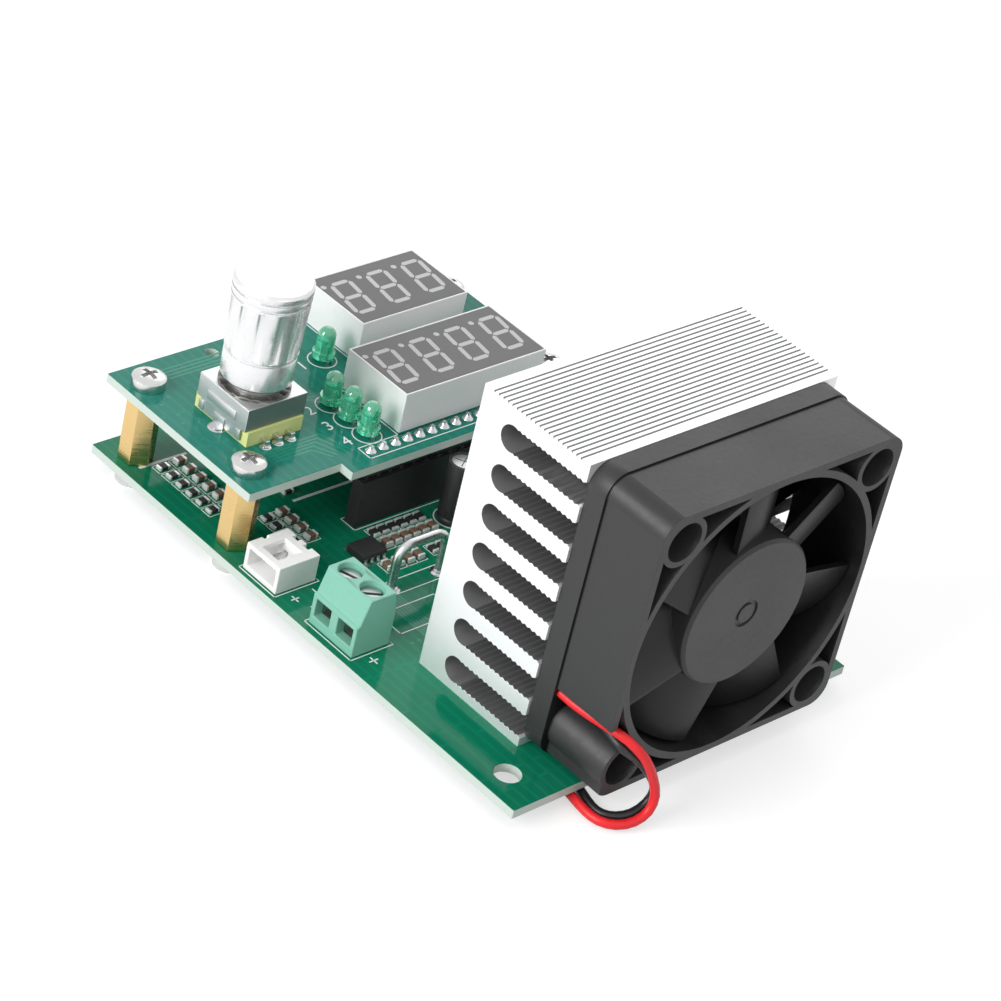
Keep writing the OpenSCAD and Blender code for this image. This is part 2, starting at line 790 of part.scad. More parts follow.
module fan_circuit() {
    color("#1f6d3f") on_fan() translate([0, 0, motor_seat_t]) difference() {
        cylinder(r = magnet_r - circuit_gap, h = circuit_t);
        translate([0, 0, -cut]) cylinder(r = tube_r + running, h = circuit_t + 2 * cut);
    }
}

module fan_screws() {
    color("#b4b7ba") on_fan() fan_corners() translate([0, 0, fan_flange_t]) difference() {
        union() {
            cylinder(d = fan_head_d, h = fan_head_h);
            translate([0, 0, -fan_flange_t - fan_screw_tip])
                cylinder(d = fan_screw_d, h = fan_flange_t + fan_screw_tip);
        }
        translate([0, 0, fan_head_h / 2]) cross_recess(fan_head_h / 2);
    }
}

// Fan lead: a round tube swept along its route, whose rings keep turning with the path.
function unit(v) = v / norm(v);
function along(path, i) = (i == 0) ? [1, 0, 0]
    : (i == len(path) - 1) ? [-1, 0, 0]
    : unit(path[i + 1] - path[i - 1]);
function across(path, i) = (i == 0) ? [0, 1, 0]
    : let (t = along(path, i), n = across(path, i - 1)) unit(n - (n * t) * t);

module swept_wire(path, d) {
    last = len(path) - 1;
    points = [
        for (i = [0:last])
            let (n = across(path, i), b = cross(along(path, i), n))
                for (k = [0:lead_sides - 1])
                    path[i] + d / 2 * (cos(k * 360 / lead_sides) * n + sin(k * 360 / lead_sides) * b)
    ];
    walls = [
        for (i = [0:last - 1], k = [0:lead_sides - 1])
            let (a = i * lead_sides + k, b = i * lead_sides + (k + 1) % lead_sides)
                each [[a, a + lead_sides, b], [b, a + lead_sides, b + lead_sides]]
    ];
    start = [for (k = [0:lead_sides - 1]) k];
    end = [for (k = [lead_sides - 1:-1:0]) last * lead_sides + k];
    polyhedron(points, concat([start], walls, [end]));
}

module fan_lead_red() {
    color("#d8232f") swept_wire(lead_route_red, lead_d);
}

module fan_lead_black() {
    color("#1c1c1e") swept_wire(lead_route_black, lead_d);
}

module lead_pads() {
    color("#c9ccd0") for (route = [lead_route_red, lead_route_black]) {
        tip = route[len(route) - 1];
        translate([tip[0] - lead_pad[0], tip[1] - lead_pad[1] / 2, screw_head_h - lead_pad[2]])
            cube(lead_pad);
    }
}

// Digit displays
module display_body(at, digits) {
    length = digits * digit_pitch;
    color("#e9e9e4") on_panel(at) difference() {
        post(digit_w, length, digit_body_h);
        translate([0, 0, digit_body_h - face_t])
            post(digit_w - 2 * face_rim, length - 2 * face_rim, face_t + cut);
    }
}

module four_digit_display() {
    display_body(four_at, 4);
}

module three_digit_display() {
    display_body(three_at, 3);
}

// One segment: a bar along Y with pointed ends, centred.
module segment(length) {
    half = segment_w / 2;
    l = length / 2 - segment_gap;
    polygon([[0, -l], [half, -l + half], [half, l - half], [0, l], [-half, l - half], [-half, -l + half]]);
}

// The seven segments and the point of one digit, read from the knob end. The digit leans over.
module digit_marks() {
    span = digit_h / 2 - segment_w / 2;
    half_w = digit_face_w / 2 - segment_w / 2;
    lean = tan(digit_slant);
    multmatrix([[1, 0, 0, 0], [-lean, 1, 0, 0], [0, 0, 1, 0]]) {
        for (x = [-span, 0, span]) translate([x, 0]) segment(2 * half_w);
        for (x = [-span / 2, span / 2], y = [-half_w, half_w])
            translate([x, y]) rotate(90) segment(span);
    }
    translate([-span, face_rim + point_gap + (point_d - digit_pitch) / 2]) circle(d = point_d);
}

module display_faces() {
    color("#77797b") difference() {
        union() for (d = [[four_at, 4], [three_at, 3]])
            on_panel(d[0], digit_body_h - face_t)
                post(digit_w - 2 * face_rim, d[1] * digit_pitch - 2 * face_rim, face_t);
        for (at = digit_places) on_panel(at, digit_body_h - face_t - cut)
            linear_extrude(face_t + 2 * cut) digit_marks();
    }
}

module digit_segments() {
    color("#dcdcd6") for (at = digit_places) on_panel(at, digit_body_h - face_t)
        linear_extrude(face_t) digit_marks();
}

module display_pins() {
    color("#c9ccd0") for (at = display_pin_places)
        on_panel(at, -board_t - pin_below) cylinder(d = pin_d, h = board_t + pin_below);
}

// Indicator lamps
module lamp_lenses() {
    rim_r = lamp_d / 2 + 0.35;
    rim_h = 1;
    foot = 0.8;
    color("#3fbf72") for (at = lamp_places) on_panel(at, foot) rotate_extrude() {
        square([rim_r, rim_h]);
        square([lamp_d / 2, lamp_h - foot - lamp_d / 2]);
        intersection() {
            translate([0, lamp_h - foot - lamp_d / 2]) circle(d = lamp_d);
            square([lamp_d, lamp_h]);
        }
    }
}

module lamp_leads() {
    foot = 0.8;
    color("#c9ccd0") for (at = lamp_places, side = [-1, 1])
        on_panel(at + [side * lamp_lead_pitch / 2, 0], -board_t - pin_below)
            post(lamp_lead_w, lamp_lead_w, board_t + pin_below + foot);
}

// Rotary encoder
module encoder_base() {
    inner = encoder_w - 2 * encoder_sheet;
    well_d = shaft_d + 0.8;
    color("#b9bd3a") difference() {
        union() {
            on_panel(encoder_at) post(encoder_w + 0.8, inner, encoder_foot_h);
            on_panel(encoder_at) post(inner, inner, encoder_h - encoder_sheet);
        }
        on_panel(encoder_at, plunger_h / 2) cylinder(d = well_d, h = encoder_h);
    }
}

module encoder_cover() {
    inner = encoder_w - 2 * encoder_sheet;
    skirt_z = 0.5;
    color("#c9cccf") difference() {
        union() {
            on_panel(encoder_at, encoder_foot_h) post(encoder_w, encoder_w, encoder_h - encoder_foot_h);
            for (side = [-1, 1])
                on_panel(encoder_at + [0, side * (encoder_w - encoder_sheet) / 2], skirt_z)
                    post(encoder_w - 2, encoder_sheet, encoder_h - skirt_z);
            for (at = lug_places) on_panel(at, -board_t - pin_below)
                post(lug_w, encoder_sheet, encoder_h + board_t);
        }
        on_panel(encoder_at, -encoder_sheet) post(inner, inner, encoder_h);
        on_panel(encoder_at) cylinder(d = bushing_d + 2 * slip, h = encoder_h + cut);
    }
}

module encoder_bushing() {
    color("#b9bcc0") on_panel(encoder_at, encoder_h - encoder_sheet) difference() {
        union() {
            cylinder(d = bushing_d, h = bushing_h + encoder_sheet);
            translate([0, 0, encoder_sheet]) cylinder(d = bushing_d + 1.4, h = 0.6);
        }
        translate([0, 0, -cut]) cylinder(d = shaft_d + 2 * running, h = bushing_h + 3 * cut);
    }
}

module encoder_pins() {
    neck = encoder_pin_row - encoder_w / 2 - 0.4;
    color("#c9ccd0") for (at = encoder_pin_places) {
        side = sign(at[0] - encoder_at[0]);
        on_panel(at, -board_t - pin_below) post(encoder_pin_w, encoder_pin_w, board_t + pin_below + 1.2);
        on_panel(at - [side * (neck + encoder_pin_w / 2) / 2, 0], 0.4)
            post(neck - encoder_pin_w / 2, encoder_pin_w, 0.8);
    }
}

module push_plunger() {
    color("#e6e3d6") on_panel(encoder_at, shaft_seat_z - plunger_h) cylinder(d = 4, h = plunger_h);
}

module encoder_shaft() {
    flat_h = knob_bore_h - bushing_h;
    tip_z = knob_z + knob_bore_h;
    color("#bfc2c5") on_panel(encoder_at) difference() {
        translate([0, 0, shaft_seat_z]) cylinder(d = shaft_d, h = tip_z - shaft_seat_z);
        translate([shaft_d / 4, -shaft_d, tip_z - flat_h]) cube([shaft_d, 2 * shaft_d, flat_h + cut]);
    }
}

// Knob: a turned outline with a plain foot, a fluted grip and two grooves under its rim.
module knob() {
    foot_r = knob_foot_d / 2;
    top_r = knob_top_d / 2;
    grip_z = knob_foot_h + 0.5;
    band_z = knob_h - 3;
    grip_r = foot_r + 0.1;
    flute_r = 4;
    flute_depth = 0.16;
    rim = 0.5;
    lean = atan((top_r - grip_r) / (knob_h - grip_z));
    color("#dfe1e3") on_panel(encoder_at, knob_z) difference() {
        rotate_extrude() polygon([
            [0, 0], [foot_r - 0.3, 0], [foot_r, 0.3], [foot_r, knob_foot_h],
            [foot_r - 0.25, knob_foot_h + 0.1], [foot_r - 0.25, grip_z - 0.1], [grip_r, grip_z],
            [top_r - 0.1, knob_h - rim], [top_r - rim, knob_h], [0, knob_h]
        ]);
        for (z = [band_z, band_z + 1.3]) translate([0, 0, z]) difference() {
            cylinder(r = top_r + cut, h = 0.35);
            translate([0, 0, -cut]) cylinder(r = top_r - 0.45, h = 3 * cut);
        }
        intersection() {
            union() for (i = [0:knob_flutes - 1]) rotate(i * 360 / knob_flutes + 8)
                translate([grip_r + flute_r - flute_depth, 0, grip_z]) rotate([0, lean, 0])
                    translate([0, 0, -2 * cut]) cylinder(r = flute_r, h = knob_h);
            translate([0, 0, grip_z + 0.3]) cylinder(r = 2 * top_r, h = band_z - grip_z - 0.7);
        }
        translate([0, 0, -cut]) cylinder(d = bushing_d + 2.4, h = bushing_h + 2 * cut);
        translate([0, 0, -cut]) difference() {
            cylinder(d = shaft_d + 0.04, h = knob_bore_h + cut + 0.2);
            translate([shaft_d / 4 + 0.02, -shaft_d, bushing_h + 2 * cut]) cube([shaft_d, 2 * shaft_d, knob_h]);
        }
    }
}

// Board connector
module link_socket() {
    color("#1d1e20") difference() {
        on_main([panel_x + link_at[0] - link_w / 2, panel_y + link_at[1] - link_pitch / 2])
            cube([link_w, link_ways * link_pitch, link_socket_h]);
        for (at = link_places) on_main(at + [panel_x, panel_y], -cut)
            post(link_pin_w + 2 * slip, link_pin_w + 2 * slip, link_socket_h + 2 * cut);
    }
}

module link_header() {
    color("#1d1e20") difference() {
        on_panel(link_at - [link_w, link_pitch] / 2, -board_t - link_header_h)
            cube([link_w, link_ways * link_pitch, link_header_h]);
        for (at = link_places) on_panel(at, -board_t - link_header_h - cut)
            post(link_pin_w + slip, link_pin_w + slip, link_header_h + 2 * cut);
    }
}

module link_pins() {
    color("#c9b370") for (at = link_places)
        on_main(at + [panel_x, panel_y], -board_t - pin_below)
            post(link_pin_w, link_pin_w, panel_z + board_t + pin_below + 0.9);
}

// Wire terminals
module terminal_block() {
    front = 0.5;
    top_front = terminal_d * 0.24;
    top_back = terminal_d * 0.9;
    chamber_w = cage_w + 0.4;
    color("#8ccbb0") difference() {
        on_main(terminal_at) rotate([90, 0, 90]) linear_extrude(terminal_w) polygon([
            [0, 0], [0, ledge_z], [front, ledge_z + 0.2], [top_front, terminal_h],
            [top_back, terminal_h], [terminal_d, ledge_z + 0.6], [terminal_d, 0]
        ]);
        for (at = pole_places) {
            on_main(at, -cut) post(chamber_w, cage_d + 0.4, cage_z1 + 0.2 + cut);
            on_main(at) cylinder(d = clamp_head_d + 0.5, h = terminal_h + cut);
            on_main([at[0], terminal_at[1]], window_z0) post(window_w, terminal_d, window_h);
        }
    }
}

// Each pole's metal cage has a tapped top, and a pin that goes through the board.
module terminal_cages() {
    color("#c9ccd0") for (at = pole_places) {
        difference() {
            on_main(at, cage_z0) post(cage_w, cage_d, cage_z1 - cage_z0);
            on_main(at, cage_z0 + cage_t)
                post(cage_w - 2 * cage_wall, cage_d + 2 * cut, cage_z1 - cage_z0 - 2 * cage_t);
            on_main(at, cage_z1 - cage_t - cut)
                cylinder(d = clamp_thread_d + 2 * running, h = cage_t + 2 * cut);
        }
        on_main(at, -board_t - pin_below) post(pole_pin_w, pole_pin_w, board_t + pin_below + cage_z0);
    }
}

// Slotted clamp screw at its open position: its tip rests on the leaf under the cage's top.
module clamp_screw(pole) {
    tip_z = leaf_z + leaf_t;
    color("#cfd2d5") on_main(pole_places[pole]) difference() {
        union() {
            translate([0, 0, tip_z]) cylinder(d = clamp_thread_d, h = clamp_head_z - tip_z);
            translate([0, 0, clamp_head_z]) cylinder(d = clamp_head_d, h = clamp_head_h);
        }
        translate([0, 0, clamp_head_z + clamp_head_h / 2])
            rotate(pole * 35 + 20) post(clamp_head_d + cut, 0.6, clamp_head_h);
    }
}

module clamp_screw_a() {
    clamp_screw(0);
}

module clamp_screw_b() {
    clamp_screw(1);
}

module clamp_leaf(pole) {
    color("#c2b280") on_main(pole_places[pole], leaf_z)
        post(cage_w - 2 * cage_wall - 0.4, cage_d - 0.6, leaf_t);
}

module clamp_leaf_a() {
    clamp_leaf(0);
}

module clamp_leaf_b() {
    clamp_leaf(1);
}

// Sense socket
module sense_socket() {
    inner_w = socket_w - 2 * socket_wall;
    inner_h = socket_h - socket_wall - socket_floor;
    middle = socket_at + [socket_w / 2, 0];
    color("#f2f2ee") difference() {
        on_main(socket_at) cube([socket_w, socket_d, socket_h]);
        on_main(middle - [inner_w / 2, cut], socket_floor)
            cube([inner_w, socket_d - socket_back + cut, inner_h]);
        on_main(middle - [inner_w * 0.31, -1.3], socket_h - socket_wall - cut)
            cube([inner_w * 0.62, socket_d - socket_back - 1.3, socket_wall + 2 * cut]);
        for (x = [-0.5, 0.5]) on_main(middle + [x * sense_pitch, socket_d], socket_floor)
            post(1.2, 1.6, socket_h);
        on_main(socket_at + [0, socket_d * 0.42], socket_floor) post(1, 0.9, socket_h);
        for (x = [-0.5, 0.5]) on_main(middle + [x * sense_pitch, socket_d / 2], sense_pin_z - 0.4)
            post(0.8, socket_d + 2 * cut, 0.8);
    }
}

module sense_pins() {
    reach = socket_d - 1.4;
    color("#c9ccd0") for (at = sense_places) {
        on_main(at, -board_t - pin_below)
            post(sense_pin_w, sense_pin_w, board_t + pin_below + sense_pin_z + sense_pin_w / 2);
        on_main(at - [sense_pin_w / 2, reach + sense_pin_w / 2], sense_pin_z - sense_pin_w / 2)
            cube([sense_pin_w, reach, sense_pin_w]);
    }
}

// Current shunt: a thick wire bent into an arch.
module shunt_wire() {
    bend = 2.6;
    leg = shunt_h - bend - shunt_d / 2;
    color("#b8bab8") on_main(shunt_at) {
        for (y = [0, shunt_span]) translate([0, y, -board_t - pin_below])
            cylinder(d = shunt_d, h = leg + board_t + pin_below);
        for (end = [0, 1]) translate([0, end * shunt_span, leg]) mirror([0, end, 0])
            translate([0, bend, 0]) rotate([0, -90, 0]) rotate([180, 0, 0]) rotate_extrude(angle = 90)
                translate([bend, 0]) circle(d = shunt_d);
        translate([0, bend, leg + bend]) rotate([-90, 0, 0])
            cylinder(d = shunt_d, h = shunt_span - 2 * bend);
    }
}

// Small parts of the main board
module filter_capacitor() {
    neck_z = 1;
    color("#2c2d33") on_main(capacitor_at) rotate_extrude() difference() {
        square([capacitor_d / 2, capacitor_h]);
        translate([capacitor_d / 2 + 0.1, neck_z]) circle(r = 0.4);
        translate([0, capacitor_h - 0.3]) square([capacitor_d / 2 - 0.5, cut]);
    }
}

module amplifier_chip() {
    color("#2a2423") on_main(amplifier_at, 0.1) post(3.9, 4.9, 1.4);
}

module controller_chip() {
    color("#26272a") on_main(controller_at, 0.1) post(7, 7, 1.4);
}

// Flat leads along two opposite sides of a chip body, two sides for each turn given.
module chip_lead_rows(count, pitch, body, turns) {
    lead_l = 1;
    for (turn = turns) rotate(turn) for (i = [0:count - 1])
        translate([body / 2 + lead_l / 2, (i - (count - 1) / 2) * pitch, 0]) {
            post(lead_l, pitch * 0.45, 0.2);
            translate([-lead_l / 2 + 0.1, 0, 0]) post(0.2, pitch * 0.45, 0.8);
        }
}

module chip_leads() {
    color("#c9ccd0") {
        on_main(amplifier_at) chip_lead_rows(4, 1.27, 3.9, [0, 180]);
        on_main(controller_at) chip_lead_rows(8, 0.8, 7, [0, 90, 180, 270]);
    }
}

// Puts a child at each place of the given rows, turned as the row says.
module chip_row(rows) {
    for (row = rows, i = [0:row[2] - 1]) on_main(row[0] + i * row[1]) rotate(row[3]) children();
}

module chip_resistors() {
    color("#202225") chip_row(resistor_rows) post(chip_l - 2 * chip_end_l, chip_w, resistor_h);
}

module chip_capacitors() {
    color("#a5845c") chip_row(capacitor_rows) post(chip_l - 2 * chip_end_l, chip_w, capacitor_chip_h);
}

module chip_end_pair(h) {
    for (side = [-1, 1]) translate([side * (chip_l - chip_end_l) / 2, 0, 0])
        post(chip_end_l, chip_w + chip_end_over, h + chip_end_over);
}

module chip_ends() {
    color("#d3d5d6") {
        chip_row(resistor_rows) chip_end_pair(resistor_h);
        chip_row(capacitor_rows) chip_end_pair(capacitor_chip_h);
    }
}

main_board();
display_board();
standoffs();
display_screws();
base_screws();
sink_screws();
heat_sink();
power_transistor();
transistor_leads();
transistor_pad();
transistor_screw();
fan_frame();
fan_rotor();
fan_magnet();
fan_shaft();
fan_bearing();
fan_stator();
fan_circuit();
fan_screws();
fan_lead_red();
fan_lead_black();
lead_pads();
four_digit_display();
three_digit_display();
display_faces();
digit_segments();
display_pins();
lamp_lenses();
lamp_leads();
encoder_base();
encoder_cover();
encoder_bushing();
encoder_pins();
push_plunger();
encoder_shaft();
knob();
link_socket();
link_header();
link_pins();
terminal_block();
terminal_cages();
clamp_screw_a();
clamp_screw_b();
clamp_leaf_a();
clamp_leaf_b();
sense_socket();
sense_pins();
shunt_wire();
filter_capacitor();
amplifier_chip();
controller_chip();
chip_leads();
chip_resistors();
chip_capacitors();
chip_ends();
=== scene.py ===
import math
import random

import bmesh
import bpy
from mathutils import Matrix, Vector


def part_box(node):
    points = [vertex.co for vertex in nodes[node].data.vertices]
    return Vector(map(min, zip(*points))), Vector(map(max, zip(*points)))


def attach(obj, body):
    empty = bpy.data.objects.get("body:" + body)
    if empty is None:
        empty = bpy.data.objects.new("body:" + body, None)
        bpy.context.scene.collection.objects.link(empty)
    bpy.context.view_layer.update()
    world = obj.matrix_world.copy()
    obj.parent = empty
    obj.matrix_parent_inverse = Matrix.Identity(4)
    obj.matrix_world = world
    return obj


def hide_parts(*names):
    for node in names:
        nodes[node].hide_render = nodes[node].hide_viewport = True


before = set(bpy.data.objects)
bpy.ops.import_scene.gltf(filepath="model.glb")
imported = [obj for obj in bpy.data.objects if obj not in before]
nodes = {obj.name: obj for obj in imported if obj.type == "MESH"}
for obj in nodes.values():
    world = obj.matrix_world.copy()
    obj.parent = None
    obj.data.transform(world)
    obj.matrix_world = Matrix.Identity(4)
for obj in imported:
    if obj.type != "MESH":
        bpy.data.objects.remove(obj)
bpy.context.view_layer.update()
scene = bpy.context.scene
scene.view_settings.view_transform = "Standard"
MM = 0.001
UP = Vector((0, 0, 1))
DOWN = Vector((0, 0, -1))


def mm(*values):
    return Vector(values) * MM


def corners(node):
    """Lowest and highest corner of a CAD node, in metres."""
    return tuple(Vector(p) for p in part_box(node))


# Places on the boards are in mm from the knob-end corner on the terminal side of each top face.
board_low, board_high = corners("main_board")
panel_low, panel_high = corners("display_board")
MAIN = Vector((board_low.x, board_low.y, board_high.z))
PANEL = Vector((panel_low.x, panel_low.y, panel_high.z))
BOARD_T = 1.6


def on_main(x, y, z=0.0):
    return MAIN + mm(x, y, z)


def on_panel(x, y, z=0.0):
    return PANEL + mm(x, y, z)


# Camera at the photograph's viewing angle: degrees, then mm
CAMERA_AZIMUTH, CAMERA_ELEVATION, CAMERA_ROLL = 39.843, 33.906, -13.839
CAMERA_PLACE = (297.61, -354.04, 327.28)
CAMERA_LENS, CAMERA_SENSOR = 131.09, 36
CAMERA_SHIFT = (-0.0013, -0.0007)


def make_camera():
    azimuth, elevation, roll = (math.radians(a) for a in (CAMERA_AZIMUTH, CAMERA_ELEVATION, CAMERA_ROLL))
    level = math.cos(elevation)
    back = Vector((math.sin(azimuth) * level, -math.cos(azimuth) * level, math.sin(elevation)))
    right = Vector((math.cos(azimuth), math.sin(azimuth), 0))
    up = back.cross(right)
    c, s = math.cos(roll), math.sin(roll)
    pose = Matrix((c * right - s * up, s * right + c * up, back)).transposed().to_4x4()
    pose.translation = mm(*CAMERA_PLACE)
    data = bpy.data.cameras.new("photo_camera")
    data.sensor_width = CAMERA_SENSOR
    data.lens = CAMERA_LENS
    data.shift_x, data.shift_y = CAMERA_SHIFT
    data.clip_start = 0.01
    camera = bpy.data.objects.new("photo_camera", data)
    camera.matrix_world = pose
    scene.collection.objects.link(camera)
    scene.camera = camera


make_camera()


# Shared effects
def add(tree, kind, **settings):
    node = tree.nodes.new(kind)
    for key, value in settings.items():
        setattr(node, key, value)
    return node


def group(name, inputs, outputs):
    tree = bpy.data.node_groups.new(name, "ShaderNodeTree")
    for label, kind, default in inputs:
        socket = tree.interface.new_socket(label, in_out="INPUT", socket_type=kind)
        socket.default_value = default
    for label, kind in outputs:
        tree.interface.new_socket(label, in_out="OUTPUT", socket_type=kind)
    return tree, tree.nodes.new("NodeGroupInput"), tree.nodes.new("NodeGroupOutput")


def grain_group():
    """Fine surface grain: a soft variation from 0 to 1 and a bumped normal."""
    tree, into, out = group(
        "surface_grain",
        [
            ("Scale", "NodeSocketFloat", 800.0),
            ("Depth", "NodeSocketFloat", 0.1),
            ("Stretch", "NodeSocketVector", (1, 1, 1)),
        ],
        [("Variation", "NodeSocketFloat"), ("Normal", "NodeSocketVector")],
    )
    place = add(tree, "ShaderNodeTexCoord")
    stretch = add(tree, "ShaderNodeVectorMath", operation="MULTIPLY")
    fine = add(tree, "ShaderNodeTexNoise")
    fine.inputs["Detail"].default_value = 4
    broad = add(tree, "ShaderNodeTexNoise")
    broad.inputs["Scale"].default_value = 90
    broad.inputs["Detail"].default_value = 2
    half = add(tree, "ShaderNodeMath", operation="MULTIPLY")
    half.inputs[1].default_value = 0.5
    mix = add(tree, "ShaderNodeMath", operation="MULTIPLY_ADD")
    mix.inputs[1].default_value = 0.5
    bump = add(tree, "ShaderNodeBump")
    bump.inputs["Distance"].default_value = 0.2 * MM
    link = tree.links.new
    link(place.outputs["Object"], stretch.inputs[0])
    link(into.outputs["Stretch"], stretch.inputs[1])
    link(stretch.outputs[0], fine.inputs["Vector"])
    link(into.outputs["Scale"], fine.inputs["Scale"])
    link(place.outputs["Object"], broad.inputs["Vector"])
    link(broad.outputs[0], half.inputs[0])
    link(fine.outputs[0], mix.inputs[0])
    link(half.outputs[0], mix.inputs[2])
    link(fine.outputs[0], bump.inputs["Height"])
    link(into.outputs["Depth"], bump.inputs["Strength"])
    link(mix.outputs[0], out.inputs["Variation"])
    link(bump.outputs[0], out.inputs["Normal"])
    return tree


def facing_group():
    """Masks of the faces that look along X, Y and Z of the object."""
    axes = ("Along X", "Along Y", "Along Z")
    tree, _, out = group("facing_masks", [], [(axis, "NodeSocketFloat") for axis in axes])
    geometry = add(tree, "ShaderNodeNewGeometry")
    turn = add(tree, "ShaderNodeVectorTransform", vector_type="NORMAL", convert_from="WORLD", convert_to="OBJECT")
    split = add(tree, "ShaderNodeSeparateXYZ")
    link = tree.links.new
    link(geometry.outputs["True Normal"], turn.inputs[0])
    link(turn.outputs[0], split.inputs[0])
    for i in range(3):
        size = add(tree, "ShaderNodeMath", operation="ABSOLUTE")
        mask = add(tree, "ShaderNodeMath", operation="GREATER_THAN")
        mask.inputs[1].default_value = 0.7
        link(split.outputs[i], size.inputs[0])
        link(size.outputs[0], mask.inputs[0])
        link(mask.outputs[0], out.inputs[i])
    return tree


def band_group():
    """Mask of what lies between two limits, in metres, along an axis of the object."""
    tree, into, out = group(
        "place_band",
        [
            ("Axis", "NodeSocketVector", (1, 0, 0)),
            ("Low", "NodeSocketFloat", 0.0),
            ("High", "NodeSocketFloat", 1.0),
        ],
        [("Mask", "NodeSocketFloat")],
    )
    place = add(tree, "ShaderNodeTexCoord")
    along = add(tree, "ShaderNodeVectorMath", operation="DOT_PRODUCT")
    above = add(tree, "ShaderNodeMath", operation="GREATER_THAN")
    below = add(tree, "ShaderNodeMath", operation="LESS_THAN")
    between = add(tree, "ShaderNodeMath", operation="MULTIPLY")
    link = tree.links.new
    link(place.outputs["Object"], along.inputs[0])
    link(into.outputs["Axis"], along.inputs[1])
    link(along.outputs["Value"], above.inputs[0])
    link(into.outputs["Low"], above.inputs[1])
    link(along.outputs["Value"], below.inputs[0])
    link(into.outputs["High"], below.inputs[1])
    link(above.outputs[0], between.inputs[0])
    link(below.outputs[0], between.inputs[1])
    link(between.outputs[0], out.inputs["Mask"])
    return tree


def reach_group():
    """Mask of what lies within a radius, in metres, of an axis along X through a point."""
    tree, into, out = group(
        "within_radius",
        [("Centre", "NodeSocketVector", (0, 0, 0)), ("Radius", "NodeSocketFloat", 0.01)],
        [("Mask", "NodeSocketFloat")],
    )
    place = add(tree, "ShaderNodeTexCoord")
    offset = add(tree, "ShaderNodeVectorMath", operation="SUBTRACT")
    flat = add(tree, "ShaderNodeVectorMath", operation="MULTIPLY")
    flat.inputs[1].default_value = (0, 1, 1)
    size = add(tree, "ShaderNodeVectorMath", operation="LENGTH")
    within = add(tree, "ShaderNodeMath", operation="LESS_THAN")
    link = tree.links.new
    link(place.outputs["Object"], offset.inputs[0])
    link(into.outputs["Centre"], offset.inputs[1])
    link(offset.outputs[0], flat.inputs[0])
    link(flat.outputs[0], size.inputs[0])
    link(size.outputs["Value"], within.inputs[0])
    link(into.outputs["Radius"], within.inputs[1])
    link(within.outputs[0], out.inputs["Mask"])
    return tree


GRAIN = grain_group()
FACING = facing_group()
BAND = band_group()
REACH = reach_group()


def band_mask(tree, axis, low, high):
    band = add(tree, "ShaderNodeGroup", node_tree=BAND)
    band.inputs["Axis"].default_value = axis
    band.inputs["Low"].default_value = low
    band.inputs["High"].default_value = high
    return band.outputs["Mask"]


def reach_mask(tree, centre, radius):
    reach = add(tree, "ShaderNodeGroup", node_tree=REACH)
    reach.inputs["Centre"].default_value = centre
    reach.inputs["Radius"].default_value = radius
    return reach.outputs["Mask"]


def facing_mask(tree, axis):
    return add(tree, "ShaderNodeGroup", node_tree=FACING).outputs["Along " + axis]


def joined(tree, operation, a, b):
    """A socket that joins two others by a math operation."""
    node = add(tree, "ShaderNodeMath", operation=operation)
    tree.links.new(a, node.inputs[0])
    tree.links.new(b, node.inputs[1])
    return node.outputs[0]


def inverse(tree, mask):
    node = add(tree, "ShaderNodeMath", operation="SUBTRACT")
    node.inputs[0].default_value = 1
    tree.links.new(mask, node.inputs[1])
    return node.outputs[0]


def scaled(tree, mask, factor):
    node = add(tree, "ShaderNodeMath", operation="MULTIPLY")
    node.inputs[1].default_value = factor
    tree.links.new(mask, node.inputs[0])
    return node.outputs[0]


# Materials
def paint(name, low, high, rough=(0.4, 0.55), metal=0.0, scale=800.0, depth=0.1, stretch=(1, 1, 1), **shader):
    """A material whose colour, roughness and relief follow the grain."""
    material = bpy.data.materials.new(name)
    material.use_nodes = True
    tree = material.node_tree
    principled = tree.nodes["Principled BSDF"]
    grain = add(tree, "ShaderNodeGroup", node_tree=GRAIN)
    grain.inputs["Scale"].default_value = scale
    grain.inputs["Depth"].default_value = depth
    grain.inputs["Stretch"].default_value = stretch
    colour = add(tree, "ShaderNodeMix", data_type="RGBA")
    colour.inputs["A"].default_value = (*low, 1)
    colour.inputs["B"].default_value = (*high, 1)
    polish = add(tree, "ShaderNodeMapRange")
    polish.inputs["From Min"].default_value = 0.3
    polish.inputs["From Max"].default_value = 0.7
    polish.inputs["To Min"].default_value = rough[0]
    polish.inputs["To Max"].default_value = rough[1]
    link = tree.links.new
    link(grain.outputs["Variation"], colour.inputs["Factor"])
    link(grain.outputs["Variation"], polish.inputs["Value"])
    link(colour.outputs["Result"], principled.inputs["Base Color"])
    link(polish.outputs["Result"], principled.inputs["Roughness"])
    link(grain.outputs["Normal"], principled.inputs["Normal"])
    principled.inputs["Metallic"].default_value = metal
    for key, value in shader.items():
        principled.inputs[key.replace("_", " ")].default_value = value
    return material


def overlay(material, mask, colour):
    """Puts a colour over a material's own, where the mask socket is 1."""
    tree = material.node_tree
    principled = tree.nodes["Principled BSDF"]
    under = principled.inputs["Base Color"].links[0].from_socket
    over = add(tree, "ShaderNodeMix", data_type="RGBA")
    over.inputs["B"].default_value = (*colour, 1)
    tree.links.new(mask, over.inputs["Factor"])
    tree.links.new(under, over.inputs["A"])
    tree.links.new(over.outputs["Result"], principled.inputs["Base Color"])


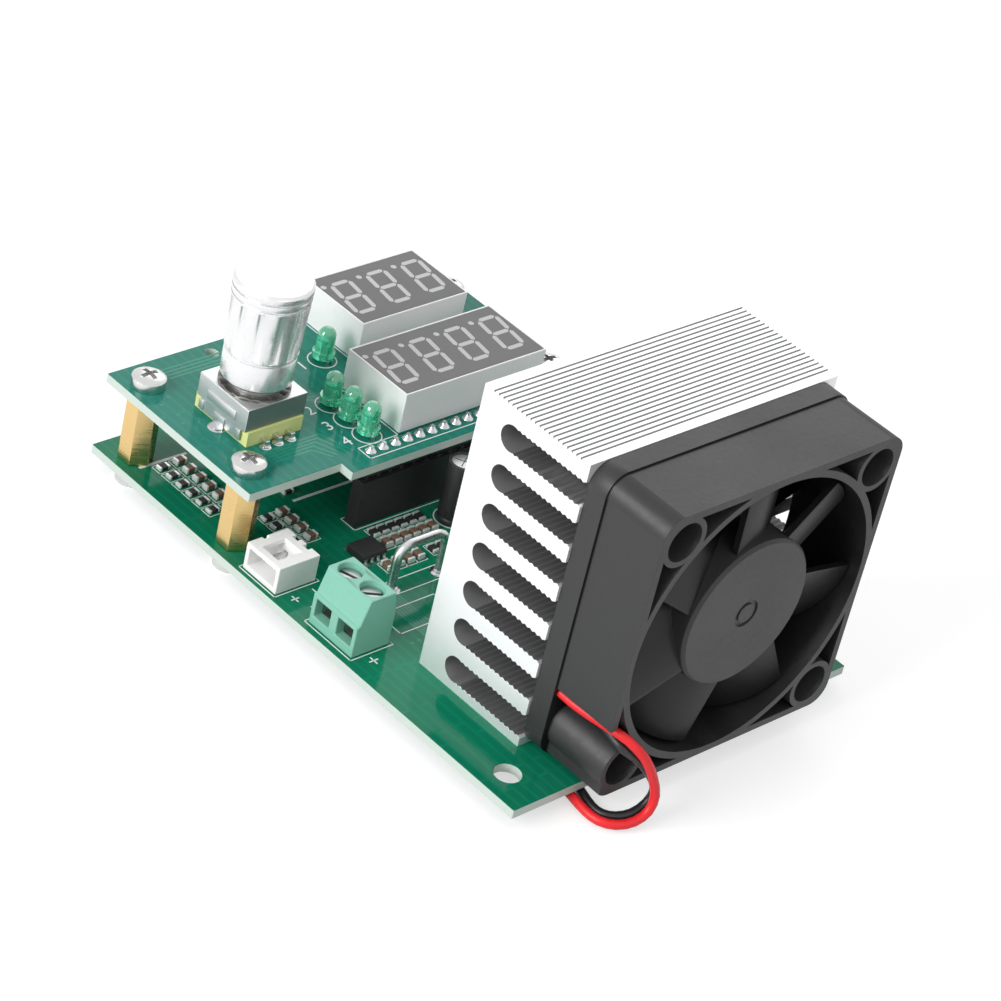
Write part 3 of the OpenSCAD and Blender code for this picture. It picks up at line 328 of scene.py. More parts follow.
def faint_tracks(tree):
    """Mask of fine broken lines, for the tracks that show through the solder mask."""
    place = add(tree, "ShaderNodeTexCoord")
    lines = add(tree, "ShaderNodeTexBrick", offset=0.37, squash=0.6)
    for socket, value in (("Color1", 0), ("Color2", 0), ("Mortar", 1)):
        lines.inputs[socket].default_value = (value, value, value, 1)
    lines.inputs["Scale"].default_value = 62
    lines.inputs["Mortar Size"].default_value = 0.018
    lines.inputs["Brick Width"].default_value = 0.9
    lines.inputs["Row Height"].default_value = 0.11
    tree.links.new(place.outputs["Object"], lines.inputs["Vector"])
    return scaled(tree, lines.outputs["Color"], 0.35)


def board_material(name, low, high):
    """Green solder mask over copper, with pale glass-fibre edges and faint tracks under the mask."""
    material = paint(name, low, high, rough=(0.07, 0.13), scale=500, depth=0.015, Specular_IOR_Level=0.14)
    tree = material.node_tree
    overlay(material, faint_tracks(tree), tuple(1.3 * c for c in high))
    overlay(material, inverse(tree, facing_mask(tree, "Z")), (0.6, 0.69, 0.63))
    return material


def sink_material():
    """Satin aluminium with painted shade on the ribs between the fins and on the walls of the top grooves, where
    it is also less metallic.
    """
    material = paint(
        "extruded_aluminium", (0.86, 0.87, 0.88), (0.93, 0.94, 0.95),
        rough=(0.4, 0.52), scale=260, depth=0.1, stretch=(14, 1, 14),
    )
    tree = material.node_tree
    low, high = corners("heat_sink")
    skin, top = 0.5 * MM, 1 * MM
    inside_x = band_mask(tree, (1, 0, 0), low.x + skin, high.x - skin)
    across = joined(tree, "MULTIPLY", inside_x, inverse(tree, facing_mask(tree, "Y")))
    shade_between_fins = joined(tree, "MULTIPLY", across, band_mask(tree, UP, low.z + top, high.z - top))
    at_top = joined(tree, "MULTIPLY", across, band_mask(tree, UP, high.z - top, high.z + top))
    shade_in_top_grooves = joined(tree, "MULTIPLY", at_top, inverse(tree, facing_mask(tree, "Z")))
    # Painted shade: darker colour between the fins and in the top grooves, and less metal there
    overlay(material, shade_between_fins, (0.13, 0.13, 0.133))
    overlay(material, shade_in_top_grooves, (0.36, 0.36, 0.365))
    unshaded = inverse(tree, joined(tree, "MAXIMUM", shade_between_fins, shade_in_top_grooves))
    tree.links.new(scaled(tree, unshaded, 0.6), tree.nodes["Principled BSDF"].inputs["Metallic"])
    return material


def fan_material():
    """Dark moulding with painted shade inside the duct, and a painted shade line for the groove where the body
    meets the flange.
    """
    material = paint(
        "fan_moulding", (0.025, 0.025, 0.026), (0.036, 0.036, 0.037),
        rough=(0.38, 0.52), scale=1300, depth=0.14, Specular_IOR_Level=0.4,
    )
    low, high = corners("fan_frame")
    shade_line_start, shade_line_end, duct_radius = 3.5 * MM, 3.85 * MM, 23.55 * MM
    # Painted shade: a dark line standing for the shade in the groove between body and flange
    line = band_mask(material.node_tree, (1, 0, 0), low.x + shade_line_start, low.x + shade_line_end)
    overlay(material, line, (0.004, 0.004, 0.004))
    # Painted shade: darker inside the duct
    overlay(material, reach_mask(material.node_tree, (low + high) / 2, duct_radius), (0.01, 0.01, 0.011))
    return material


def rotor_material():
    """Nearly black blades, darkened as painted shade, on a lighter hub."""
    # Painted shade: the blades are painted darker than the fan frame and the hub
    material = paint(
        "rotor_moulding", (0.009, 0.009, 0.01), (0.016, 0.016, 0.017),
        rough=(0.34, 0.48), scale=1300, depth=0.12, Specular_IOR_Level=0.3,
    )
    low, high = corners("fan_rotor")
    hub_radius = 12.55 * MM
    overlay(material, reach_mask(material.node_tree, (low + high) / 2, hub_radius), (0.05, 0.05, 0.051))
    return material


def sheet_material(name):
    """Pressed and brushed steel sheet."""
    return paint(
        name, (0.6, 0.61, 0.61), (0.74, 0.75, 0.75),
        rough=(0.3, 0.44), metal=0.78, scale=420, depth=0.06, stretch=(1, 1, 6),
    )


def cover_material():
    """Pressed steel with painted shade on its bent-down ends, the faces that look along X."""
    material = sheet_material("pressed_cover")
    # Painted shade on the faces along X
    overlay(material, facing_mask(material.node_tree, "X"), (0.28, 0.29, 0.29))
    return material


M = {
    "mask": board_material("solder_mask", (0.003, 0.155, 0.08), (0.006, 0.195, 0.105)),
    "panel": board_material("display_solder_mask", (0.01, 0.17, 0.125), (0.016, 0.205, 0.155)),
    "track": paint(
        "track_under_mask", (0.01, 0.22, 0.14), (0.016, 0.26, 0.17),
        rough=(0.07, 0.13), scale=500, depth=0.03, Specular_IOR_Level=0.3,
    ),
    "silk": paint(
        "silk_print", (0.74, 0.76, 0.74), (0.84, 0.86, 0.84),
        rough=(0.5, 0.65), scale=1500, depth=0.05,
    ),
    # Metals
    "brass": paint(
        "turned_brass", (0.68, 0.47, 0.19), (0.84, 0.62, 0.3),
        rough=(0.22, 0.38), metal=1.0, scale=300, depth=0.12, stretch=(1, 1, 9),
    ),
    "screw": paint(
        "plated_steel", (0.62, 0.62, 0.61), (0.75, 0.75, 0.74),
        rough=(0.2, 0.34), metal=1.0, scale=900, depth=0.08,
    ),
    # Clamp screws painted darker than the other screws, as painted shade of the wells they sit in
    "clamp": paint(
        "shaded_clamp_screw_steel", (0.36, 0.37, 0.37), (0.48, 0.49, 0.49),
        rough=(0.26, 0.4), metal=1.0, scale=900, depth=0.08,
    ),
    "tin": paint(
        "tinned_metal", (0.6, 0.61, 0.61), (0.76, 0.77, 0.77),
        rough=(0.22, 0.38), metal=1.0, scale=1400, depth=0.08,
    ),
    "ends": paint(
        "plated_part_ends", (0.82, 0.83, 0.83), (0.92, 0.93, 0.93),
        rough=(0.3, 0.42), metal=0.55, scale=1800, depth=0.06,
    ),
    "dark_steel": paint(
        "blackened_steel", (0.2, 0.196, 0.185), (0.32, 0.312, 0.295),
        rough=(0.34, 0.48), metal=0.9, scale=1500, depth=0.15,
    ),
    "solder": paint(
        "solder", (0.55, 0.56, 0.57), (0.75, 0.76, 0.77),
        rough=(0.16, 0.3), metal=1.0, scale=1100, depth=0.12,
    ),
    "copper": paint(
        "enamelled_copper", (0.45, 0.16, 0.06), (0.6, 0.24, 0.1),
        rough=(0.25, 0.4), metal=1.0, scale=300, depth=0.2, stretch=(1, 1, 8),
    ),
    "chrome": paint(
        "chrome_plating", (0.78, 0.78, 0.79), (0.85, 0.85, 0.86),
        rough=(0.22, 0.32), metal=0.76, scale=500, depth=0.03,
    ),
    "sheet": sheet_material("pressed_sheet"),
    "cover": cover_material(),
    "sink": sink_material(),
    # Mouldings and sleeves
    "fan": fan_material(),
    "rotor": rotor_material(),
    "epoxy": paint(
        "moulded_epoxy", (0.012, 0.012, 0.013), (0.026, 0.026, 0.028),
        rough=(0.42, 0.58), scale=1600, depth=0.16,
    ),
    "pad": paint(
        "silicone_pad", (0.34, 0.38, 0.42), (0.42, 0.46, 0.5),
        rough=(0.6, 0.75), scale=900, depth=0.1,
    ),
    "ferrite": paint(
        "ferrite", (0.02, 0.02, 0.022), (0.035, 0.035, 0.037),
        rough=(0.5, 0.65), scale=1200, depth=0.15,
    ),
    "red": paint(
        "red_sleeve", (0.78, 0.016, 0.022), (0.9, 0.03, 0.038),
        rough=(0.3, 0.42), scale=700, depth=0.06, Specular_IOR_Level=0.35,
    ),
    "black": paint(
        "black_sleeve", (0.01, 0.01, 0.011), (0.02, 0.02, 0.021),
        rough=(0.32, 0.44), scale=700, depth=0.06,
    ),
    "white": paint(
        "display_housing", (0.85, 0.85, 0.85), (0.92, 0.92, 0.92),
        rough=(0.3, 0.42), scale=1200, depth=0.06,
    ),
    "face": paint(
        "display_face", (0.092, 0.092, 0.094), (0.12, 0.12, 0.122),
        rough=(0.38, 0.5), scale=2200, depth=0.08,
    ),
    "segment": paint(
        "segment_filling", (0.46, 0.46, 0.46), (0.55, 0.55, 0.55),
        rough=(0.35, 0.5), scale=2500, depth=0.05,
    ),
    "lens": paint(
        "green_lens", (0.11, 0.82, 0.47), (0.16, 0.9, 0.57),
        rough=(0.05, 0.1), scale=600, depth=0.02,
        Transmission_Weight=0.7, IOR=1.46, Coat_Weight=1.0, Coat_Roughness=0.03, Coat_IOR=1.8,
    ),
    "yellow": paint(
        "encoder_resin", (0.7, 0.74, 0.28), (0.8, 0.84, 0.36),
        rough=(0.42, 0.55), scale=1300, depth=0.1,
    ),
    "terminal": paint(
        "terminal_moulding", (0.185, 0.47, 0.36), (0.23, 0.535, 0.42),
        rough=(0.3, 0.42), scale=1100, depth=0.1,
    ),
    "socket": paint(
        "socket_moulding", (0.87, 0.87, 0.86), (0.93, 0.93, 0.92),
        rough=(0.36, 0.48), scale=1100, depth=0.08,
    ),
    "ceramic": paint(
        "capacitor_ceramic", (0.12, 0.075, 0.045), (0.19, 0.12, 0.075),
        rough=(0.45, 0.6), scale=1500, depth=0.1,
    ),
}

NODE_PAINT = {
    "mask": ["main_board", "fan_circuit"],
    "panel": ["display_board"],
    "brass": ["standoffs", "fan_bearing", "clamp_leaf_a", "clamp_leaf_b"],
    "screw": ["display_screws", "base_screws", "sink_screws", "transistor_screw", "fan_screws", "fan_shaft"],
    "clamp": ["clamp_screw_a", "clamp_screw_b"],
    "sink": ["heat_sink"],
    "epoxy": [
        "power_transistor", "link_socket", "link_header", "filter_capacitor", "amplifier_chip",
        "controller_chip", "chip_resistors",
    ],
    "tin": [
        "transistor_leads", "lead_pads", "display_pins", "lamp_leads", "encoder_pins", "link_pins",
        "terminal_cages", "sense_pins", "shunt_wire", "chip_leads",
    ],
    "ends": ["chip_ends"],
    "pad": ["transistor_pad"],
    "fan": ["fan_frame"],
    "rotor": ["fan_rotor"],
    "ferrite": ["fan_magnet"],
    "copper": ["fan_stator"],
    "red": ["fan_lead_red"],
    "black": ["fan_lead_black"],
    "white": ["four_digit_display", "three_digit_display"],
    "face": ["display_faces"],
    "segment": ["digit_segments"],
    "lens": ["lamp_lenses"],
    "yellow": ["encoder_base"],
    "sheet": ["encoder_bushing", "encoder_shaft"],
    "cover": ["encoder_cover"],
    "chrome": ["knob"],
    "terminal": ["terminal_block"],
    "socket": ["sense_socket", "push_plunger"],
    "ceramic": ["chip_capacitors"],
}
for key, names in NODE_PAINT.items():
    for name in names:
        data = nodes[name].data
        data.materials.clear()
        data.materials.append(M[key])


# Rounded edges of the solids that show their corners: radius in mm and segments
EDGES = {
    "fan_frame": (0.22, 2), "fan_rotor": (0.18, 2), "heat_sink": (0.06, 1), "terminal_block": (0.18, 2),
    "sense_socket": (0.15, 2), "four_digit_display": (0.15, 2), "three_digit_display": (0.15, 2),
    "encoder_base": (0.12, 2), "encoder_cover": (0.15, 2), "standoffs": (0.25, 2), "knob": (0.1, 2),
    "power_transistor": (0.15, 2), "amplifier_chip": (0.12, 2), "controller_chip": (0.12, 2),
    "chip_resistors": (0.05, 1), "chip_capacitors": (0.08, 1), "chip_ends": (0.06, 1),
    "link_socket": (0.12, 2), "link_header": (0.12, 2), "filter_capacitor": (0.15, 2),
    "display_screws": (0.1, 2), "transistor_screw": (0.1, 2), "base_screws": (0.12, 2),
    "sink_screws": (0.12, 2), "fan_screws": (0.1, 2), "clamp_screw_a": (0.08, 2),
    "clamp_screw_b": (0.08, 2), "main_board": (0.06, 1), "display_board": (0.06, 1), "encoder_pins": (0.08, 1),
}
EDGE_ANGLE = 32


def soften(obj, width, segments):
    weld = obj.modifiers.new("weld", "WELD")
    weld.merge_threshold = 2e-6
    bevel = obj.modifiers.new("soft_edges", "BEVEL")
    bevel.width = width * MM
    bevel.segments = segments
    bevel.limit_method = "ANGLE"
    bevel.angle_limit = math.radians(EDGE_ANGLE)
    bevel.use_clamp_overlap = True
    bevel.harden_normals = False


for name, (width, segments) in EDGES.items():
    soften(nodes[name], width, segments)


# Shape helpers
def piece(name, bm, material, smooth=40.0):
    """Makes a shape a piece of the chassis; smooth is the angle past which its edges are sharp."""
    bmesh.ops.recalc_face_normals(bm, faces=bm.faces)
    mesh = bpy.data.meshes.new(name)
    bm.to_mesh(mesh)
    bm.free()
    mesh.materials.append(material)
    obj = bpy.data.objects.new(name, mesh)
    scene.collection.objects.link(obj)
    if smooth:
        for polygon in mesh.polygons:
            polygon.use_smooth = True
        mesh.set_sharp_from_angle(angle=math.radians(smooth))
    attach(obj, "chassis")
    return obj


def lathe(bm, at, profile, segments=20, axis=UP):
    """Turns a profile of (radius, height) in mm about an axis through a point."""
    kept = set(bm.verts)
    line = [bm.verts.new(mm(r, 0, h)) for r, h in profile]
    edges = [bm.edges.new(pair) for pair in zip(line, line[1:])]
    bmesh.ops.spin(
        bm, geom=line + edges, cent=(0, 0, 0), axis=UP, angle=2 * math.pi, steps=segments, use_merge=True,
    )
    made = [v for v in bm.verts if v not in kept]
    turn = UP.rotation_difference(axis).to_matrix().to_4x4()
    bmesh.ops.transform(bm, matrix=Matrix.Translation(at) @ turn, verts=made)
    bmesh.ops.remove_doubles(bm, verts=made, dist=1e-6)


def slab(bm, low, high, radius, segments=2):
    """A box between two corners, in metres, with rounded edges of a radius in mm."""
    low, high = Vector(low), Vector(high)
    place = Matrix.Translation((low + high) / 2) @ Matrix.Diagonal((*(high - low), 1))
    made = bmesh.ops.create_cube(bm, size=1, matrix=place)["verts"]
    edges = list({e for v in made for e in v.link_edges})
    bmesh.ops.bevel(
        bm, geom=edges, offset=radius * MM, offset_type="OFFSET", affect="EDGES",
        segments=segments, profile=0.5, material=-1,
    )


# Print and tracks: heights above a board's face, in mm
LINE_H, RING_H, TRACK_H, TRACK_STEP, VIA_H, DIGIT_H = 0.032, 0.036, 0.012, 0.006, 0.026, 0.024


def strip(bm, start, end, width, height=LINE_H):
    """A flat printed line between two points on a board's face."""
    start, end = Vector(start), Vector(end)
    run = end - start
    turn = Vector((1, 0, 0)).rotation_difference(run).to_matrix().to_4x4()
    size = Matrix.Diagonal((run.length + width * MM, width * MM, height * MM, 1))
    middle = (start + end) / 2 + mm(0, 0, height / 2)
    bmesh.ops.create_cube(bm, size=1, matrix=Matrix.Translation(middle) @ turn @ size)


def outline(bm, place, x0, y0, x1, y1, width=0.18):
    points = [(x0, y0), (x1, y0), (x1, y1), (x0, y1)]
    for a, b in zip(points, points[1:] + points[:1]):
        strip(bm, place(*a), place(*b), width)


def ring(bm, place, x, y, outer, inner, height=RING_H, segments=20):
    profile = [(inner, 0), (inner, height), (outer, height), (outer, 0), (inner, 0)]
    lathe(bm, place(x, y), profile, segments)


def sign(bm, place, x, y, plus, size, width=0.22):
    """A plus or minus sign."""
    strip(bm, place(x - size / 2, y), place(x + size / 2, y), width)
    if plus:
        strip(bm, place(x, y - size / 2), place(x, y + size / 2), width)


# Fan lead: the two wires follow the routes of their solids, in mm
WIRE_D = 1.5
RED_ROUTE = [
    (40.6, -23, 16), (43, -22.9, 15.8), (46.2, -22.5, 15.7), (49.7, -22, 15.8),
    (53, -21, 15.3), (55.1, -19, 12.9), (55.9, -16.9, 9.1), (56.4, -15.8, 5.6),
    (56.5, -16.4, 2.9), (56.2, -18.6, 1.6), (55.2, -21.2, 1.3), (53.2, -22.9, 1.3),
    (50.6, -23.2, 1.35), (47.4, -22.8, 1.45), (44, -22.4, 1.6), (41.5, -22.3, 1.6),
]
BLACK_ROUTE = [
    (40.6, -21.5, 15.2), (43, -21.4, 15), (46.1, -21.1, 14.8), (49.5, -21.1, 14.3),
    (52.7, -21.4, 13.7), (53.3, -19, 11.8), (54.4, -16.2, 8.7), (55.2, -14.7, 5.6),
    (55, -15.4, 2.9), (54.7, -17.8, 1.7), (53.8, -20.1, 1.4), (52.3, -21.4, 1.3),
    (50.4, -21.6, 1.3), (47.6, -20.9, 1.4), (44.2, -20, 1.6), (41.5, -19.8, 1.6),
]


def smooth_line(points, steps=2):
    """Points of a smooth curve through the given ones, so many for each of them."""
    knots = [Vector(p) for p in points]
    knots = [2 * knots[0] - knots[1]] + knots + [2 * knots[-1] - knots[-2]]
    line = []
    for a, b, c, d in zip(knots, knots[1:], knots[2:], knots[3:]):
        for k in range(steps):
            t = k / steps
            bend = (2 * a - 5 * b + 4 * c - d) * t * t + (3 * b - a - 3 * c + d) * t ** 3
            line.append(0.5 * (2 * b + (c - a) * t + bend))
    return line + [knots[-2]]


def wire(name, route, material, node):
    line = [p * MM for p in smooth_line(route)]
    curve = bpy.data.curves.new(name, "CURVE")
    curve.dimensions = "3D"
    curve.bevel_depth = WIRE_D / 2 * MM
    curve.bevel_resolution = 4
    curve.use_fill_caps = True
    spline = curve.splines.new("POLY")
    spline.points.add(len(line) - 1)
    for point, place in zip(spline.points, line):
        point.co = (*place, 1)
    spline.use_smooth = True
    curve.materials.append(material)
    obj = bpy.data.objects.new(name, curve)
    scene.collection.objects.link(obj)
    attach(obj, "chassis")
    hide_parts(node)


wire("lead_wire_red", RED_ROUTE, M["red"], "fan_lead_red")
wire("lead_wire_black", BLACK_ROUTE, M["black"], "fan_lead_black")

# Places of the parts on the display board, in mm
PITCH = 2.54
LINK = [(34.7, 24.5 + PITCH * i) for i in range(14)]
ENCODER_X, ENCODER_Y = 19.1, 12.6
LAMPS = [(11.7, 33.9)] + [(22.1 + 4.5 * i, 26.8) for i in range(3)]
DISPLAYS = [(26, 46.7), (7.6, 49.8)]
# Places on the main board, and the display board's corner on it
PANEL_X, PANEL_Y = 0.5, 0.25
POLES = [(53.9, 5.725), (58.9, 5.725)]
SENSE = [(38.85, 10.0), (41.35, 10.0)]
SHUNT = [(51.1, 18.4), (51.1, 28.3)]
TRANSISTOR_LEGS = [(64.2, 35.8 + 5.45 * i) for i in (-1, 0, 1)]
CAPACITOR = (41.4, 39.6)


# Solder joints
def solder(name, places, radius=0.85, height=0.75, tip=0.32, axis=UP):
    """Concave cones round legs that go through a board: radius at the board, height and tip radius in mm."""
    bm = bmesh.new()
    profile = [
        (0.0, 0.0), (radius, 0.0), (radius * 0.93, height * 0.14), (radius * 0.66, height * 0.4),
        (tip * 1.25, height * 0.8), (tip, height), (0.0, height * 1.05),
    ]
    for place in places:
        lathe(bm, place, profile, 16, axis)
    piece(name, bm, M["solder"], smooth=60)


def under_main(places):
    return [on_main(x, y, -BOARD_T) for x, y in places]


def under_panel(places):
    return [on_panel(x, y, -BOARD_T) for x, y in places]


def link_solder():
    solder("link_solder_top", [on_panel(x, y) for x, y in LINK], 0.95, 0.85)
    link_below = [(x + PANEL_X, y + PANEL_Y) for x, y in LINK]
    solder("link_solder_under", under_main(link_below), axis=DOWN)


def panel_solder():
    display_legs = [
        (x + side * 2 * PITCH, y + (i - 2.5) * PITCH) for x, y in DISPLAYS for side in (-1, 1) for i in range(6)
    ]
    lamp_legs = [(x + side * PITCH / 2, y) for x, y in LAMPS for side in (-1, 1)]
    leg_reach, leg_pitch = 7.4, 2.5
    encoder_legs = [(ENCODER_X + leg_reach, ENCODER_Y + leg_pitch * i) for i in (-1, 0, 1)]
    encoder_legs += [(ENCODER_X - leg_reach, ENCODER_Y + leg_pitch * i) for i in (-1, 1)]
    lugs = [(ENCODER_X, ENCODER_Y + side * 5.7) for side in (-1, 1)]
    lug_feet = [(ENCODER_X, ENCODER_Y + side * 6.1) for side in (-1, 1)]
    solder("display_solder", under_panel(display_legs), 0.75, 0.7, 0.26, DOWN)
    solder("lamp_solder", under_panel(lamp_legs), 0.75, 0.7, 0.3, DOWN)
    solder("encoder_solder", under_panel(encoder_legs), 0.95, 0.75, 0.45, DOWN)
    solder("encoder_solder_top", [on_panel(x, y) for x, y in encoder_legs], 0.95, 0.35, 0.6)
    solder("lug_solder", under_panel(lugs), 1.6, 0.8, 0.9, DOWN)
    solder("lug_solder_top", [on_panel(x, y) for x, y in lug_feet], 1.5, 0.4, 0.9)


def main_solder():
    solder("terminal_solder", under_main(POLES), 1.3, 0.95, 0.55, DOWN)
    solder("sense_solder", under_main(SENSE), 0.95, 0.8, 0.36, DOWN)
    solder("shunt_solder", under_main(SHUNT), 1.6, 0.95, 0.8, DOWN)
    solder("shunt_solder_top", [on_main(x, y) for x, y in SHUNT], 1.5, 0.5, 0.8)
    solder("transistor_solder", under_main(TRANSISTOR_LEGS), 1.3, 0.9, 0.6, DOWN)


def lead_solder():
    """Rounded beads over the ends of the fan's two wires, under the board."""
    behind, ahead, half_width, low, high = 2.4, 0.5, 0.95, 0.75, 2.42
    bm = bmesh.new()
    for x, y, _ in (RED_ROUTE[-1], BLACK_ROUTE[-1]):
        slab(bm, mm(x - behind, y - half_width, low), mm(x + ahead, y + half_width, high), 0.6, 4)
    beads = piece("lead_solder", bm, M["solder"], smooth=60)
    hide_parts("lead_pads")


link_solder()
panel_solder()
main_solder()
lead_solder()

# Print on the boards, in mm: frames as (x0, y0, x1, y1), an unused part's frame, thick bars, and
# signs as place, whether plus, and size
MAIN_FRAMES = [
    (51.0, 1.2, 61.8, 9.6),  # wire terminal
    (35.8, 0.8, 44.4, 9.6),  # white socket
    (33.5, 23.2, 36.9, 60.0),  # connector
    (49.6, 16.6, 52.6, 30.1),  # shunt wire
    (61.4, 26.6, 66.6, 45.0),  # transistor legs
]
BARE_FRAME, BARE_FRAME_W = (55.2, 12.4, 60.4, 23.6), 0.2
BARS, BAR_W = [((8.5, 3.0), (8.6, 11.8)), ((26.4, 19.6), (26.4, 32.4))], 0.55
SIGNS = [(63.4, 4.4, True, 1.5), (49.6, 4.4, False, 1.5), (46.2, 3.4, True, 1.3), (46.2, 7.4, False, 1.3)]
# Rows of small parts: first place, step, count, and half the size of the frame round each part
PART_ROWS = [
    ((10.2, 6.1), (2.5, 0), 6, (1.1, 1.4)), ((10.2, 9.4), (2.5, 0), 6, (1.1, 1.4)),
    ((28.2, 12.6), (2.3, 0), 4, (1.0, 1.35)), ((28.2, 15.6), (2.3, 0), 4, (1.0, 1.35)),
    ((38.9, 25.4), (0, 1.9), 6, (1.35, 0.85)), ((41.9, 25.4), (0, 1.9), 6, (1.35, 0.85)),
    ((46.6, 21.6), (0, 2.1), 4, (1.35, 0.95)), ((46.4, 31.2), (0, 1.9), 4, (1.35, 0.85)),
]
PART_FRAME_W = 0.12
PANEL_FRAMES = [
    (33.3, 23.1, 36.3, 58.9),  # connector
    (18.7, 31.3, 33.3, 62.1),  # four-digit display
    (0.3, 38.2, 14.9, 61.4),  # three-digit display
]


def main_print():
    bm = bmesh.new()
    for frame_box in MAIN_FRAMES:
        outline(bm, on_main, *frame_box)
    outline(bm, on_main, *BARE_FRAME, BARE_FRAME_W)
    for start, end in BARS:
        strip(bm, on_main(*start), on_main(*end), BAR_W)
    for x, y, plus, size in SIGNS:
        sign(bm, on_main, x, y, plus, size)
    for (x, y), (step_x, step_y), count, (half_x, half_y) in PART_ROWS:
        for i in range(count):
            px, py = x + step_x * i, y + step_y * i
            outline(bm, on_main, px - half_x, py - half_y, px + half_x, py + half_y, PART_FRAME_W)
    ring(bm, on_main, *CAPACITOR, outer=3.0, inner=2.8)
    piece("main_print", bm, M["silk"], smooth=None)


def display_print():
    bm = bmesh.new()
    for frame_box in PANEL_FRAMES:
        outline(bm, on_panel, *frame_box)
    for x, y in LAMPS:
        ring(bm, on_panel, x, y, outer=2.45, inner=2.25, segments=28)
    piece("display_print", bm, M["silk"], smooth=None)


def lamp_number(digit, place, height=2.2):
    """A printed digit whose top points away from the fan, as the displays' digits do."""
    name = "lamp_number_" + digit
    digit_share = 0.7
    curve = bpy.data.curves.new(name, "FONT")
    curve.body = digit
    curve.align_x = "CENTER"
    curve.align_y = "CENTER"
    curve.size = height * MM / digit_share
    curve.extrude = DIGIT_H / 2 * MM
    letter = bpy.data.objects.new(name, curve)
    mesh = bpy.data.meshes.new_from_object(letter)
    bm = bmesh.new()
    bm.from_mesh(mesh)
    turn = Matrix.Rotation(math.radians(90), 4, "Z")
    bmesh.ops.transform(bm, matrix=Matrix.Translation(place + mm(0, 0, DIGIT_H / 2)) @ turn, verts=bm.verts)
    bpy.data.objects.remove(letter)
    bpy.data.curves.remove(curve)
    bpy.data.meshes.remove(mesh)
    piece(name, bm, M["silk"], smooth=None)


main_print()
display_print()
NUMBER_GAP = 4.1
for digit, (x, y) in zip("1234", LAMPS):
    lamp_number(digit, on_panel(x, y - NUMBER_GAP))


# Tracks and vias
def tracks(name, place, routes, width):
    """Raised tracks: the runs of a route have two heights, so that they don't meet in one plane."""
    bm = bmesh.new()
    for route in routes:
        for i, (a, b) in enumerate(zip(route, route[1:])):
            strip(bm, place(*a), place(*b), width, TRACK_H + TRACK_STEP * (i % 2))
    piece(name, bm, M["track"], smooth=None)


def main_tracks():
    by_terminal = [
        [(46 + 0.9 * i, 12.0), (46 + 0.9 * i, 18.5 - 0.6 * i), (62 + 0.5 * i, 18.5 - 0.6 * i)] for i in range(6)
    ]
    under_displays = [[(3 + 0.8 * i, 14 + i), (3 + 0.8 * i, 55 - i), (30, 60 - i)] for i in range(8)]
    tracks("main_tracks", on_main, by_terminal + under_displays, 0.4)


def display_tracks():
    by_connector = [[(27.6 + 0.7 * i, 9.0), (27.6 + 0.7 * i, 20 - i), (33.2, 22.0 - i)] for i in range(5)]
    along_edge = [
        [(3 + 0.8 * i, 8.0), (3 + 0.8 * i, 32 - 0.33 * i), (6 + 0.8 * i, 35 - 0.33 * i)] for i in range(4)
    ]
    to_lamps = [
        [(9.6 + 0.8 * i, 22.5 + 0.8 * i), (18 + 0.8 * i, 22.5 + 0.8 * i), (19.4 + 0.8 * i, 26.0)] for i in range(3)
    ]
    tracks("display_tracks", on_panel, by_connector + along_edge + to_lamps, 0.35)


# Fields of vias: x0, y0, x1, y1, count and board
VIA_FIELDS = [
    (44.6, 11.6, 49.0, 17.5, 6, on_main), (62.5, 11.0, 66.0, 24.0, 8, on_main),
    (53.6, 24.5, 60.0, 33.0, 8, on_main), (66.5, 64.0, 92.0, 69.0, 10, on_main),
    (40.0, 46.0, 60.0, 66.0, 16, on_main), (3.5, 22.0, 10.0, 34.0, 7, on_panel),
    (13.5, 21.5, 20.0, 30.5, 6, on_panel), (15.8, 63.5, 33.0, 66.5, 6, on_panel),
    (9.0, 2.0, 28.0, 5.0, 7, on_panel),
]


def board_vias():
    outer, inner = 0.32, 0.13
    chooser = random.Random(7)
    bm = bmesh.new()
    for x0, y0, x1, y1, count, place in VIA_FIELDS:
        for _ in range(count):
            ring(bm, place, chooser.uniform(x0, x1), chooser.uniform(y0, y1), outer, inner, VIA_H, 12)
    piece("board_vias", bm, M["track"], smooth=None)


main_tracks()
display_tracks()
board_vias()


# Parts on the boards
def lamp_posts():
    """The cup and the post that show through each lamp's lens."""
    foot, cup_seat, post_top, rounding = 0.8, 3.4, 3.2, 0.1
    cup = [(0.0, 0.0), (0.35, 0.0), (0.6, 0.45), (0.5, 0.45), (0.25, 0.1), (0.0, 0.1)]
    bm = bmesh.new()
    for x, y in LAMPS:
        slab(bm, on_panel(x - 0.95, y - 0.3, foot), on_panel(x - 0.15, y + 0.3, cup_seat), rounding)
        slab(bm, on_panel(x + 0.25, y - 0.25, foot), on_panel(x + 0.75, y + 0.25, post_top), rounding)
        lathe(bm, on_panel(x - 0.45, y, cup_seat), cup, 16)
    piece("lamp_posts", bm, M["tin"])


def encoder_tabs():
    """Embossed plate and folded tabs on the two long sides of the encoder's cover."""
    side_y, thickness = 5.9, 0.22
    plates = [  # middle, half length, low and high edge
        (0, 3.4, 3.3, 5.0), (0, 1.25, 0.15, 2.2), (-4.4, 0.55, 0.7, 2.4), (4.4, 0.55, 0.7, 2.4),
    ]
    bm = bmesh.new()
    for side in (-1, 1):
        near, far = sorted((ENCODER_Y + side * side_y, ENCODER_Y + side * (side_y + thickness)))
        for x, half, low, high in plates:
            x += ENCODER_X
            slab(bm, on_panel(x - half, near, low), on_panel(x + half, far, high), 0.1)
    piece("encoder_tabs", bm, M["sheet"])


